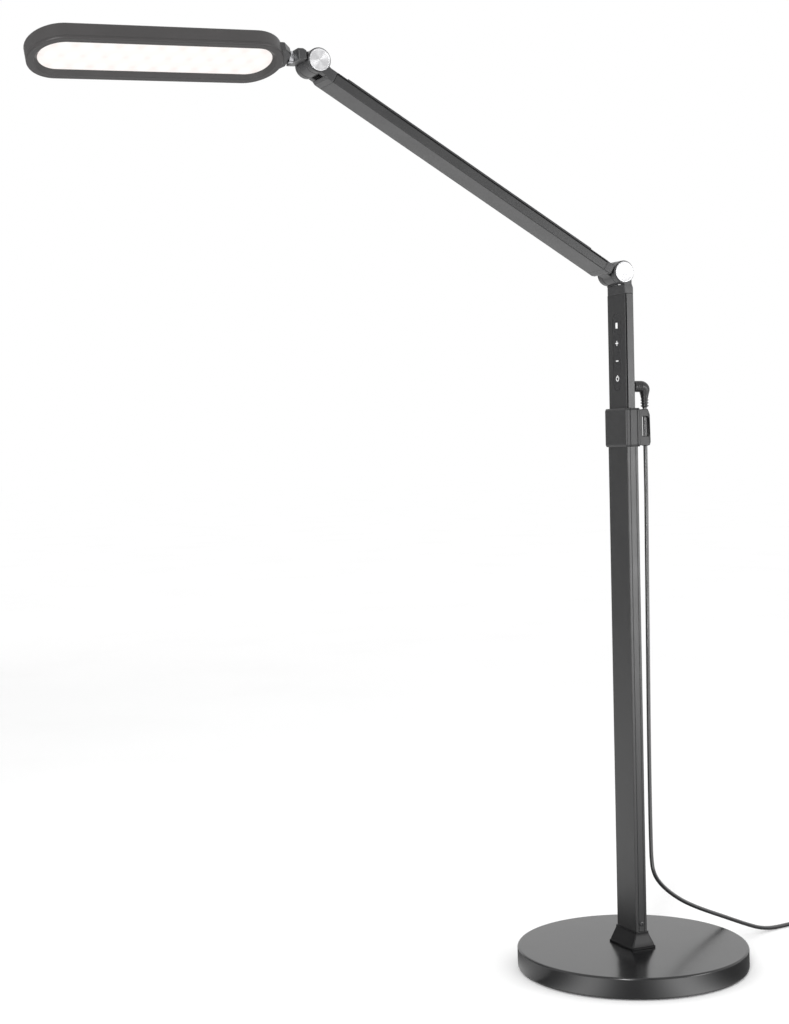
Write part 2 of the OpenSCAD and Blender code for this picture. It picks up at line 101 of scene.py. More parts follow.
@dataclass(frozen=True)
class Place:
    """Where a shape's own millimetres sit: an origin in metres and three unit axes, one a row."""

    origin: Array
    axes: Array

    def metres(self, points: Array) -> Array:
        """Returns points from this place's millimetres in the row frame's metres."""
        return self.origin + MM * points @ self.axes

    def moved(self, x: float, y: float, z: float) -> "Place":
        """Returns this place carried by x, y, z of its own millimetres."""
        return Place(self.metres(np.array([x, y, z], float)), self.axes)

    def turned(self, *rows: Sequence[float]) -> "Place":
        """Returns this place with new axes, each given in the old ones."""
        return Place(self.origin, np.array(rows, float) @ self.axes)


ROW = Place(np.zeros(3), np.eye(3))


@dataclass(frozen=True)
class Outline:
    """A closed outline, counter-clockwise, with each corner rounded by its own radius."""

    corners: tuple[Corner, ...]
    steps: int = 6

    def inset(self, distance: float) -> "Outline":
        """Moves every side inwards; an outward corner's radius shrinks and an inward one's grows.

        Args:
            distance: how far each side moves, in millimetres.

        Returns:
            The smaller outline, with as many points as this one.
        """
        data = np.array(self.corners, float)
        ahead = unit(np.roll(data[:, :2], -1, 0) - data[:, :2])
        normal = np.stack([-ahead[:, 1], ahead[:, 0]], 1)
        behind = np.roll(normal, 1, 0)
        mitre = normal + behind
        mitre /= (mitre * normal).sum(1, keepdims=True)
        outward = (np.roll(ahead, 1, 0) * normal).sum(1) < 0
        radius = np.where(outward, data[:, 2] - distance, data[:, 2] + distance)
        radius = np.where(data[:, 2] > 0, np.maximum(radius, 0), 0)
        moved = np.column_stack([data[:, :2] + distance * mitre, radius])
        return Outline(tuple(map(tuple, moved)), self.steps)

    def points(self) -> Array:
        """Works out the outline's points.

        A corner's arc has its centre on the bisector of its two sides, radius / sin(half angle)
        from the corner, and touches each side radius / tan(half angle) from the corner.

        Returns:
            One (x, y) row a point, steps points a corner.
        """
        data = np.array(self.corners, float)
        corner, radius = data[:, :2], data[:, 2:]
        back = unit(np.roll(corner, 1, 0) - corner)
        ahead = unit(np.roll(corner, -1, 0) - corner)
        half = 0.5 * np.arccos(np.clip((back * ahead).sum(1, keepdims=True), -1, 1))
        centre = corner + unit(back + ahead) * radius / np.sin(half)
        first = corner + back * radius / np.tan(half) - centre
        last = corner + ahead * radius / np.tan(half) - centre
        start = np.arctan2(first[:, 1], first[:, 0])
        turn = np.arctan2(last[:, 1], last[:, 0]) - start
        turn = (turn + np.pi) % (2 * np.pi) - np.pi
        angle = start[:, None] + turn[:, None] * np.linspace(0, 1, self.steps)
        arc = np.stack([np.cos(angle), np.sin(angle)], 2)
        return (centre[:, None] + radius[:, None] * arc).reshape(-1, 2)

    def ring(self, height: float, distance: float = 0.0) -> Array:
        """Returns the outline, inset by distance, as a ring of points at that height."""
        flat = self.inset(distance).points() if distance else self.points()
        return np.column_stack([flat, np.full(len(flat), height)])


def box(width: float, depth: float, radius: float, steps: int = 6) -> Outline:
    """Returns a rectangle round the origin with rounded corners."""
    a, b = width / 2, depth / 2
    return Outline(((-a, -b, radius), (a, -b, radius), (a, b, radius), (-a, b, radius)), steps)


def stadium(length: float, width: float, steps: int = 28) -> Outline:
    """Returns a long outline with half-round ends, round the origin."""
    return box(length, width, width / 2 - 1e-4, steps)


@dataclass
class Skin:
    """Surfaces of a piece: points in millimetres, four-sided faces with their UV, and end caps."""

    points: Array
    quads: Array
    quad_uv: Array
    caps: list[Array] = field(default_factory=list)


def loft(rings: Array, closed: bool = False) -> Skin:
    """Joins rings of equal size into a skin: a grid of ring number by place round the ring.

    UV runs once round the ring in u, and in v it is the mean distance along the rings in mm.

    Args:
        rings: points, shaped (rings, points a ring, 3).
        closed: whether the last ring joins the first; if not, a flat face closes each end.

    Returns:
        The skin.
    """
    rings = np.asarray(rings, float)
    count, size = rings.shape[:2]
    rows = np.arange(count if closed else count - 1)
    i, j = (g.ravel() for g in np.meshgrid(rows, np.arange(size), indexing="ij"))
    below, above = i * size, (i + 1) % count * size
    right = (j + 1) % size
    quads = np.stack([below + j, below + right, above + right, above + j], 1)
    gaps = np.linalg.norm(np.diff(np.concatenate([rings, rings[:1]]), axis=0), axis=2).mean(1)
    along = np.concatenate([[0.0], np.cumsum(gaps)])
    u0, u1, v0, v1 = j / size, (j + 1) / size, along[i], along[i + 1]
    uv = np.stack([np.stack(c, 1) for c in ((u0, v0), (u1, v0), (u1, v1), (u0, v1))], 1)
    ends = [np.arange(size)[::-1], np.arange((count - 1) * size, count * size)]
    return Skin(rings.reshape(-1, 3), quads, uv, [] if closed else ends)


def prism(shape: Outline, low: float, high: float, edge: float = 0.0, steps: int = 4) -> Skin:
    """Carries an outline along z, with both end edges rounded by a quarter circle.

    At angle a of the quarter circle the ring is inset by edge (1 - sin a), edge (1 - cos a)
    from the end.

    Args:
        shape: the outline.
        low: z of one end.
        high: z of the other end.
        edge: radius of the end edges.
        steps: rings in each rounded edge.

    Returns:
        The closed skin.
    """
    if not edge:
        return loft(np.stack([shape.ring(low), shape.ring(high)]))
    angle = np.linspace(0, np.pi / 2, steps)
    insets, depths = edge * (1 - np.sin(angle)), edge * (1 - np.cos(angle))
    lower = [shape.ring(low + d, i) for i, d in zip(insets, depths)]
    upper = [shape.ring(high - d, i) for i, d in zip(insets[::-1], depths[::-1])]
    return loft(np.stack(lower + upper))


def walled(shape: Outline, profile: Outline) -> Skin:
    """Carries a closed wall section round an outline.

    The section's x is the inset from the outline and its y the height, so each of its points
    gives one ring.

    Args:
        shape: the outline in plan.
        profile: the section of the wall.

    Returns:
        A skin closed both ways.
    """
    return loft(np.stack([shape.ring(z, d) for d, z in profile.points()]), closed=True)


def lathe(profile: Outline, segments: int = 96) -> Skin:
    """Turns a closed section round the z axis: x is the radius and y the height.

    Args:
        profile: the section; its points on the axis close the poles.
        segments: points in a full turn.

    Returns:
        The closed skin.
    """
    radius, height = profile.points().T
    angle = 2 * np.pi * np.arange(segments) / segments
    rings = np.stack(
        [
            radius[:, None] * np.cos(angle),
            radius[:, None] * np.sin(angle),
            np.broadcast_to(height[:, None], (len(radius), segments)),
        ],
        2,
    )
    return loft(rings, closed=True)


def tube(path: Array, radius: Array | float, sides: int = 20) -> Skin:
    """Carries a circle along a path.

    At each point the circle's first axis is the last one's, less its part along the tangent, so
    the skin never twists; the second axis is at right angles to both.

    Args:
        path: points of the centreline.
        radius: one radius, or one a point.
        sides: points in the circle.

    Returns:
        The skin, closed at both ends.
    """
    tangent = unit(np.gradient(path, axis=0))
    across = np.empty_like(path)
    last = unit(np.cross(tangent[0], [0.3, 1.0, 0.2]))
    for k, t in enumerate(tangent):
        last = unit(last - (last @ t) * t)
        across[k] = last
    other = np.cross(tangent, across)
    angle = 2 * np.pi * np.arange(sides) / sides
    radius = np.broadcast_to(np.asarray(radius, float), len(path))[:, None, None]
    circle = across[:, None] * np.cos(angle)[:, None] + other[:, None] * np.sin(angle)[:, None]
    return loft(path[:, None] + radius * circle)


def through(points: Array, steps: int) -> Array:
    """Draws a smooth Catmull-Rom curve through given points.

    Between b and c, with neighbours a and d, the point at t is half of
    2b + t (c - a) + t^2 (2a - 5b + 4c - d) + t^3 (3b - a - 3c + d).

    Args:
        points: the points that the curve passes through.
        steps: points in each stretch.

    Returns:
        The curve's points, its last one left out.
    """
    p = np.concatenate([points[:1], points, points[-1:]])
    a, b, c, d = (p[k : len(p) - 3 + k, None] for k in range(4))
    t = (np.arange(steps) / steps)[None, :, None]
    curve = 2 * b + t * (c - a) + t**2 * (2 * a - 5 * b + 4 * c - d)
    curve = 0.5 * (curve + t**3 * (3 * b - a - 3 * c + d))
    return curve.reshape(-1, 3)


def ease(t: Array) -> Array:
    """Returns a smooth step: 0 below 0, 1 above 1 and 3t^2 - 2t^3 between."""
    t = np.clip(t, 0, 1)
    return t * t * (3 - 2 * t)


# ---------- finishes ----------


class Recipe:
    """Builds the node tree of one material, around a Principled shader."""

    def __init__(self, name: str) -> None:
        """Starts a material of that name."""
        self.material = bpy.data.materials.new(name)
        self.material.use_nodes = True
        self.tree = self.material.node_tree
        self.shader = next(n for n in self.tree.nodes if n.type == "BSDF_PRINCIPLED")
        self.coordinates = self.tree.nodes.new("ShaderNodeTexCoord")

    def node(self, kind: str, inputs: dict | None = None, **settings: object) -> bpy.types.Node:
        """Adds a node.

        Args:
            kind: the node's type, without the ShaderNode in front.
            inputs: sockets by name or number, each given a value or an output to link.
            settings: the node's own properties.

        Returns:
            The node.
        """
        made = self.tree.nodes.new("ShaderNode" + kind)
        for key, value in settings.items():
            setattr(made, key, value)
        for key, value in (inputs or {}).items():
            self.put(made.inputs[key], value)
        return made

    def put(self, socket: bpy.types.NodeSocket, value: object) -> None:
        """Links an output to the socket, or sets its value."""
        if isinstance(value, bpy.types.NodeSocket):
            self.tree.links.new(value, socket)
        else:
            socket.default_value = value

    def where(
        self, space: str = "Object", scale: Sequence[float] = (1, 1, 1), turn: Sequence[float] = (0, 0, 0)
    ) -> bpy.types.NodeSocket:
        """Returns coordinates, turned by Euler angles in degrees and then stretched.

        Args:
            space: Object or UV.
            scale: factors along the three axes.
            turn: angles in degrees.

        Returns:
            The vector output.
        """
        vector = self.coordinates.outputs[space]
        if any(turn):
            angles = [math.radians(a) for a in turn]
            vector = self.node("Mapping", {"Vector": vector, "Rotation": angles}).outputs[0]
        return self.node("Mapping", {"Vector": vector, "Scale": list(scale)}).outputs[0]

    def noise(
        self, vector: bpy.types.NodeSocket, per_metre: float, detail: float = 3.0
    ) -> bpy.types.NodeSocket:
        """Returns smooth noise from 0 to 1 with that many lumps a metre."""
        inputs = {"Vector": vector, "Scale": per_metre, "Detail": detail, "Roughness": 0.55}
        return self.node("TexNoise", inputs).outputs["Fac"]

    def between(self, value: bpy.types.NodeSocket, low: float, high: float) -> bpy.types.NodeSocket:
        """Returns the value's middle range, 0.3 to 0.7, spread from low to high."""
        inputs = {0: value, 1: 0.3, 2: 0.7, 3: low, 4: high}
        return self.node("MapRange", inputs, clamp=True).outputs[0]

    def sums(self, operation: str, *values: object) -> bpy.types.NodeSocket:
        """Returns a Math node's result."""
        return self.node("Math", dict(enumerate(values)), operation=operation).outputs[0]

    def mix(self, share: object, first: Sequence[float], second: Sequence[float]) -> bpy.types.NodeSocket:
        """Returns a colour between two others."""
        inputs = {"Factor": share, 6: (*first, 1), 7: (*second, 1)}
        return self.node("Mix", inputs, data_type="RGBA").outputs[2]

    def relief(self, height: bpy.types.NodeSocket, depth: float, strength: float = 1.0) -> None:
        """Adds a bump of that depth in metres over the ones before it."""
        bump = self.node("Bump", {"Height": height, "Distance": depth, "Strength": strength})
        before = self.shader.inputs["Normal"].links
        if before:
            self.put(bump.inputs["Normal"], before[0].from_socket)
        self.put(self.shader.inputs["Normal"], bump.outputs[0])

    def set(self, **values: object) -> None:
        """Sets the shader's sockets, named with _ for a space."""
        for key, value in values.items():
            self.put(self.shader.inputs[key.replace("_", " ")], value)


def shade(colour: Colour, factor: float) -> Colour:
    """Returns the colour made lighter or darker by a factor."""
    return tuple(min(1.0, c * factor) for c in colour)


@dataclass(frozen=True)
class Finish:
    """A surface with slow colour drift, uneven roughness and a fine relief.

    Lengths are in millimetres. The lines of a drawn grain run along z, once turned.
    """

    name: str
    slot: str
    colour: Colour
    roughness: float
    grain: Grain = Grain.PLAIN
    grain_size: float = 0.4
    grain_depth: float = 0.004
    spread: float = 0.05
    drift: float = 0.12
    drift_size: float = 30.0
    metallic: float = 0.0
    ior: float = 1.5
    turn: tuple[float, float, float] = (0.0, 0.0, 0.0)
    stretch: tuple[float, float, float] = (1.0, 1.0, 0.02)

    def height(self, recipe: Recipe) -> bpy.types.NodeSocket:
        """Returns the relief's height, 0 to 1, as the grain asks."""
        per_metre = 1000 / self.grain_size
        if self.grain is Grain.DRAWN:
            return recipe.noise(recipe.where(scale=self.stretch, turn=self.turn), per_metre, 4)
        if self.grain is Grain.SPARKED:
            inputs = {"Vector": recipe.where(), "Scale": per_metre, "Randomness": 1.0}
            cells = recipe.node("TexVoronoi", inputs, feature="SMOOTH_F1").outputs["Distance"]
            return recipe.sums("ADD", cells, recipe.noise(recipe.where(), per_metre * 2.3, 2))
        detail = 1.0 if self.grain is Grain.PEEL else 4.0
        return recipe.noise(recipe.where(), per_metre, detail)

    def make(self) -> bpy.types.Material:
        """Returns the material."""
        recipe = Recipe(self.name)
        height = self.height(recipe)
        slow = recipe.noise(recipe.where(), 1000 / self.drift_size, 5)
        share = recipe.between(slow, 0.0, 1.0)
        darker, lighter = shade(self.colour, 1 - self.drift), shade(self.colour, 1 + self.drift)
        wear = recipe.sums("MULTIPLY_ADD", slow, 0.6, recipe.sums("MULTIPLY", height, 0.4))
        recipe.set(
            Base_Color=recipe.mix(share, darker, lighter),
            Roughness=recipe.between(wear, self.roughness - self.spread, self.roughness + self.spread),
            Metallic=self.metallic,
            IOR=self.ior,
        )
        recipe.relief(height, self.grain_depth * MM)
        return recipe.material


@dataclass(frozen=True)
class SpunCap:
    """Bright aluminium turned on a lathe, with fine rings and a highlight that fans out."""

    name: str = "spun_aluminium"
    slot: str = "spun_aluminium"
    colour: Colour = (0.66, 0.66, 0.67)
    pitch: float = 0.16

    def make(self) -> bpy.types.Material:
        """Returns the material; UV runs round the cap in u and along its section in v."""
        recipe = Recipe(self.name)
        split = recipe.node("SeparateXYZ", {0: recipe.coordinates.outputs["UV"]}).outputs
        rings = recipe.sums("SINE", recipe.sums("MULTIPLY", split[1], 2 * math.pi / self.pitch))
        streaks = recipe.noise(recipe.where("UV", (3.0, 9.0, 1.0)), 1.0, 6)
        dust = recipe.noise(recipe.where(), 350.0, 4)
        recipe.set(
            Base_Color=recipe.mix(recipe.between(streaks, 0, 1), shade(self.colour, 0.82), self.colour),
            Roughness=recipe.between(recipe.sums("MULTIPLY_ADD", dust, 0.5, streaks), 0.22, 0.36),
            Metallic=1.0,
            Anisotropic=0.85,
        )
        recipe.set(Tangent=recipe.node("Tangent", direction_type="UV_MAP", uv_map="Skin").outputs[0])
        recipe.relief(recipe.sums("MULTIPLY_ADD", rings, 0.3, streaks), 0.006 * MM)
        return recipe.material


@dataclass(frozen=True)
class LitPanel:
    """Frosted light panel: three staggered rows of bright spots on an even glow.

    UV is the place on the panel in millimetres, along and across, from its middle.
    """

    name: str = "frosted_panel"
    slot: str = "diffuser"
    pitch: float = 19.0
    row: float = 15.0
    glow: Colour = (0.65, 0.606, 0.581)
    cool: Colour = (0.80, 0.80, 0.79)
    warm: Colour = (0.62, 0.53, 0.50)

    def spots(self, recipe: Recipe, along: float, across: float, size: float) -> bpy.types.NodeSocket:
        """Lays soft spots on a lattice of one pitch by two rows.

        The offset from the nearest lattice point is p less p rounded to the lattice, and the
        spot's light is exp of minus its squared length over the squared size.

        Args:
            recipe: the material's recipe.
            along: x of one lattice point.
            across: y of one lattice point.
            size: radius of a spot.

        Returns:
            The light, 0 to 1.
        """
        lattice = (self.pitch, 2 * self.row, 1.0)
        half = (self.pitch / 2, self.row, 0.0)
        place = recipe.node(
            "VectorMath", {0: recipe.coordinates.outputs["UV"], 1: (-along, -across, 0.0)}, operation="ADD"
        ).outputs[0]
        ahead = recipe.node("VectorMath", {0: place, 1: half}, operation="ADD").outputs[0]
        nearest = recipe.node("VectorMath", {0: ahead, 1: lattice}, operation="SNAP").outputs[0]
        offset = recipe.node("VectorMath", {0: place, 1: nearest}, operation="SUBTRACT").outputs[0]
        square = recipe.node("VectorMath", {0: offset, 1: offset}, operation="DOT_PRODUCT").outputs["Value"]
        return recipe.sums("EXPONENT", recipe.sums("MULTIPLY", square, -1 / size**2))

    def make(self) -> bpy.types.Material:
        """Returns the material."""
        recipe = Recipe(self.name)
        half = self.pitch / 2
        cool = recipe.sums(
            "ADD", self.spots(recipe, half, self.row, 3.4), self.spots(recipe, 0.0, 0.0, 3.4)
        )
        warm = recipe.sums(
            "ADD", self.spots(recipe, 0.0, self.row, 3.0), self.spots(recipe, half, 0.0, 3.0)
        )
        tinted = recipe.mix(recipe.sums("MULTIPLY", warm, 0.7), self.glow, self.warm)
        lit = {"Factor": cool, 6: tinted, 7: (*self.cool, 1)}
        light = recipe.node("Mix", lit, data_type="RGBA").outputs[2]
        frost = recipe.noise(recipe.where(), 2600.0, 3)
        recipe.set(
            Base_Color=(0.25, 0.25, 0.25, 1),
            Roughness=recipe.between(frost, 0.42, 0.55),
            Emission_Color=light,
            Emission_Strength=1.0,
        )
        recipe.relief(frost, 0.006 * MM)
        return recipe.material


@dataclass(frozen=True)
class LeadSheath:
    """Soft black sheath of a lead: even, slightly waxy, with faint bands from its making."""

    name: str = "lead_sheath"
    slot: str = "lead_black"
    colour: Colour = (0.018, 0.018, 0.019)

    def make(self) -> bpy.types.Material:
        """Returns the material; UV runs round the lead in u and along it in millimetres in v."""
        recipe = Recipe(self.name)
        bands = recipe.noise(recipe.where("UV", (1.5, 0.9, 1.0)), 1.0, 3)
        slow = recipe.noise(recipe.where("UV", (0.6, 0.03, 1.0)), 1.0, 3)
        darker, lighter = shade(self.colour, 0.8), shade(self.colour, 1.3)
        recipe.set(
            Base_Color=recipe.mix(recipe.between(slow, 0, 1), darker, lighter),
            Roughness=recipe.between(recipe.sums("MULTIPLY_ADD", bands, 0.5, slow), 0.26, 0.40),
            IOR=1.53,
            Coat_Weight=1.0,
            Coat_Roughness=0.08,
        )
        recipe.relief(bands, 0.02 * MM, 0.6)
        return recipe.material


@dataclass(frozen=True)
class Circuit:
    """Solder resist over copper tracks, seen as faint raised lines on a grid."""

    name: str
    slot: str
    colour: Colour
    pitch: float = 2.4

    def make(self) -> bpy.types.Material:
        """Returns the material."""
        recipe = Recipe(self.name)
        inputs = {"Vector": recipe.where(), "Scale": 1000 / self.pitch, "Mortar Size": 0.05}
        inputs |= {"Color1": (1, 1, 1, 1), "Color2": (0.8, 0.8, 0.8, 1), "Mortar": (0, 0, 0, 1)}
        tracks = recipe.node("TexBrick", inputs).outputs["Fac"]
        slow = recipe.noise(recipe.where(), 120.0, 3)
        recipe.set(
            Base_Color=recipe.mix(tracks, self.colour, shade(self.colour, 0.6)),
            Roughness=recipe.between(slow, 0.3, 0.45),
        )
        recipe.relief(tracks, 0.03 * MM)
        return recipe.material


AnyFinish = Finish | SpunCap | LitPanel | LeadSheath | Circuit
NEAR_BLACK: Colour = (0.012, 0.012, 0.0125)

LACQUER = Finish("foot_lacquer", "satin_black_lacquer", (0.009, 0.009, 0.0095), 0.21, Grain.PEEL, 3.2, 0.004,
                 spread=0.03, drift_size=60, ior=1.52)
EXTRUSION = Finish("anodised_mast", "dark_anodised", (0.012, 0.012, 0.0126), 0.33, Grain.DRAWN, 0.35, 0.006,
                   spread=0.05, ior=1.55)
ARM_EXTRUSION = Finish("anodised_arm", "dark_anodised", (0.012, 0.012, 0.0126), 0.33, Grain.DRAWN, 0.35,
                       0.006, spread=0.05, ior=1.55, turn=(0, -30, 0), stretch=(0.02, 1.0, 1.0))
POST_TUBE = Finish("lacquered_post", "satin_black_lacquer", (0.010, 0.010, 0.0105), 0.33, Grain.DRAWN, 0.5,
                   0.006, spread=0.05, ior=1.55)
STRIP = Finish("strip_black", "black_strip", (0.012, 0.012, 0.0126), 0.38, Grain.SPARKED, 0.35, 0.005)
KEY_GLASS = Finish("key_window", "black_strip", (0.012, 0.012, 0.013), 0.22, Grain.PLAIN, 0.8, 0.001,
                   ior=1.52)
ABS = Finish("moulded_black", "black_abs", (0.012, 0.012, 0.0126), 0.38, Grain.SPARKED, 0.3, 0.008, ior=1.54)
BOOT = Finish("boot_satin", "black_abs", (0.006, 0.006, 0.0064), 0.22, Grain.PEEL, 0.5, 0.003, ior=1.25)
CAST = Finish("hinge_castings", "hinge_black", (0.019, 0.019, 0.020), 0.36, Grain.PEEL, 0.7, 0.008, ior=1.55)
SHELL = Finish("head_shell", "head_shell", (0.028, 0.026, 0.026), 0.42, Grain.SPARKED, 0.35, 0.008, ior=1.52)
RIM = Finish("head_rim", "head_rim", (0.024, 0.022, 0.022), 0.40, Grain.SPARKED, 0.35, 0.008, ior=1.52)
RUBBER = Finish("foam_rubber", "rubber_pad", (0.016, 0.016, 0.017), 0.85, Grain.SPARKED, 0.6, 0.06,
                spread=0.08)
ZINC = Finish("zinc_plate", "zinc_plate", (0.46, 0.47, 0.49), 0.38, Grain.PLAIN, 1.5, 0.01, metallic=1.0,
              drift=0.25, drift_size=9)
IRON = Finish("cast_iron", "cast_weight", (0.09, 0.09, 0.095), 0.72, Grain.SPARKED, 1.6, 0.12, metallic=0.3,
              drift=0.3)
DIE_CAST = Finish("die_cast", "die_cast", (0.42, 0.42, 0.43), 0.46, Grain.PEEL, 1.0, 0.03, metallic=1.0)
STEEL = Finish("steel_screws", "steel_hardware", (0.50, 0.50, 0.52), 0.27, Grain.DRAWN, 0.2, 0.004,
               metallic=1.0)
SCREW = Finish("screw_black", "steel_hardware", (0.02, 0.02, 0.021), 0.3, Grain.PLAIN, 0.3, 0.004, ior=1.6)
NYLON = Finish("nylon_black", "nylon", (0.022, 0.022, 0.023), 0.52, Grain.SPARKED, 0.4, 0.012)
NATURAL = Finish("nylon_natural", "nylon", (0.78, 0.75, 0.66), 0.45, Grain.PEEL, 0.8, 0.008, drift=0.05)
ICON = Finish("icon_print", "icon_white", (0.82, 0.82, 0.82), 0.5, Grain.PLAIN, 0.3, 0.004, drift=0.05)
SOCKET = Finish("socket_black", "socket_black", NEAR_BLACK, 0.34, Grain.PLAIN, 0.4, 0.003)
NICKEL = Finish("nickel_plate", "nickel", (0.66, 0.63, 0.58), 0.2, Grain.DRAWN, 0.3, 0.003, metallic=1.0)
PHOSPHOR = Finish("phosphor", "led_phosphor", (0.86, 0.66, 0.14), 0.5, Grain.PEEL, 0.4, 0.02, drift=0.08)
HEAT = Finish("heat_plate", "die_cast", (0.62, 0.62, 0.63), 0.4, Grain.DRAWN, 0.4, 0.01, metallic=1.0)
TIE = Finish("tie_black", "tie_black", (0.015, 0.015, 0.016), 0.5, Grain.SPARKED, 0.4, 0.012)
ADAPTER = Finish("adapter_black", "adapter_black", (0.017, 0.017, 0.018), 0.44, Grain.SPARKED, 0.5, 0.02)
INNER_LEAD = Finish("inner_lead", "lead_black", (0.018, 0.018, 0.019), 0.42, Grain.PLAIN, 0.8, 0.01)
BOARD = Circuit("touch_board", "circuit_green", (0.03, 0.16, 0.06))
LED_BOARD = Circuit("led_board", "board_white", (0.80, 0.80, 0.78), 4.0)
CAP = SpunCap()
PANEL = LitPanel()
SHEATH = LeadSheath()


class Wardrobe:
    """Makes each finish once and hands it out."""

    made: dict[str, bpy.types.Material] = {}

    @classmethod
    def of(cls, finish: AnyFinish) -> bpy.types.Material:
        """Returns the finish's material."""
        if finish.name not in cls.made:
            cls.made[finish.name] = finish.make()
        return cls.made[finish.name]


# ---------- pieces ----------


def add_piece(
    name: str,
    skins: Sequence[Skin],
    place: Place,
    finish: AnyFinish,
    body: Body | None,
    replaces: Sequence[str] = (),
    flat_faces: bool = True,
    sharp: float = 34.0,
) -> bpy.types.Object:
    """finish: the finish that makes its material.
        place: where its millimetres sit.
        finish: its material and slot.
        body: the body it rides on, or None where it is blended afterwards.
        replaces: the CAD nodes it stands for.
        flat_faces: whether broad faces keep flat shading beside rounded edges.
        sharp: edges that turn by more degrees than this stay sharp.

    Returns:
        The object.
    """
    starts = np.cumsum([0] + [len(s.points) for s in skins])
    points = np.concatenate([place.metres(s.points) for s in skins])
    quads = np.concatenate([s.quads + k for s, k in zip(skins, starts)])
    caps = [cap + k for s, k in zip(skins, starts) for cap in s.caps]
    mesh = bpy.data.meshes.new(name)
    mesh.from_pydata(points.tolist(), [], quads.tolist() + [c.tolist() for c in caps])
    layer = mesh.uv_layers.new(name="Skin")
    uv = np.zeros((len(mesh.loops), 2), np.float32)
    uv[: quads.size] = np.concatenate([s.quad_uv for s in skins]).reshape(-1, 2)
    layer.data.foreach_set("uv", uv.ravel())
    tidy = bmesh.new()
    tidy.from_mesh(mesh)
    bmesh.ops.remove_doubles(tidy, verts=tidy.verts, dist=0.002 * MM)
    bmesh.ops.recalc_face_normals(tidy, faces=tidy.faces)
    tidy.to_mesh(mesh)
    tidy.free()
    mesh.polygons.foreach_set("use_smooth", np.ones(len(mesh.polygons), bool))
    mesh.set_sharp_from_angle(angle=math.radians(sharp))
    mesh.materials.append(Wardrobe.of(finish))
    piece = bpy.data.objects.new(name, mesh)
    bpy.context.scene.collection.objects.link(piece)
    if flat_faces:
        weighted = piece.modifiers.new("flat_faces", "WEIGHTED_NORMAL")
        weighted.keep_sharp = True
    if body is not None:
        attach(piece, body.value)
    if replaces:
        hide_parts(*replaces)
    log.info("%s: %d faces, %s", name, len(mesh.polygons), finish.name)
    return piece


def dress(finish: AnyFinish, *nodes: str) -> None:
    """Gives CAD nodes that keep their own shape a finish.

    Args:
        finish: the finish.
        nodes: the CAD nodes' names.
    """
    for name in nodes:
        node = frame["nodes"][name]
        node.data.materials.clear()
        node.data.materials.append(Wardrobe.of(finish))
        log.info("%s: CAD shape, %s", name, finish.name)


def joint(name: str) -> dict:
    """Returns the frame's joint of that name."""
    return next(j for j in frame["joints"] if j["name"] == name)


def span(node: str) -> tuple[Array, Array]:
    """Returns a CAD node's lowest and highest corners in millimetres."""
    low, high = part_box(node)
    return np.array(low) / MM, np.array(high) / MM


# ---------- studio ----------


def facing(at: Sequence[float], aim: Sequence[float]) -> Array:
    """Works out the axes of an upright sheet that faces a point.

    Args:
        at: the sheet's middle.
        aim: the point it faces.

    Returns:
        Three rows: across the sheet, up it and back from it.
    """
    back = unit(np.array(at, float) - np.array(aim, float))
    across = unit(np.cross([0, 0, 1.0], back))
    return np.stack([across, np.cross(back, across), back])


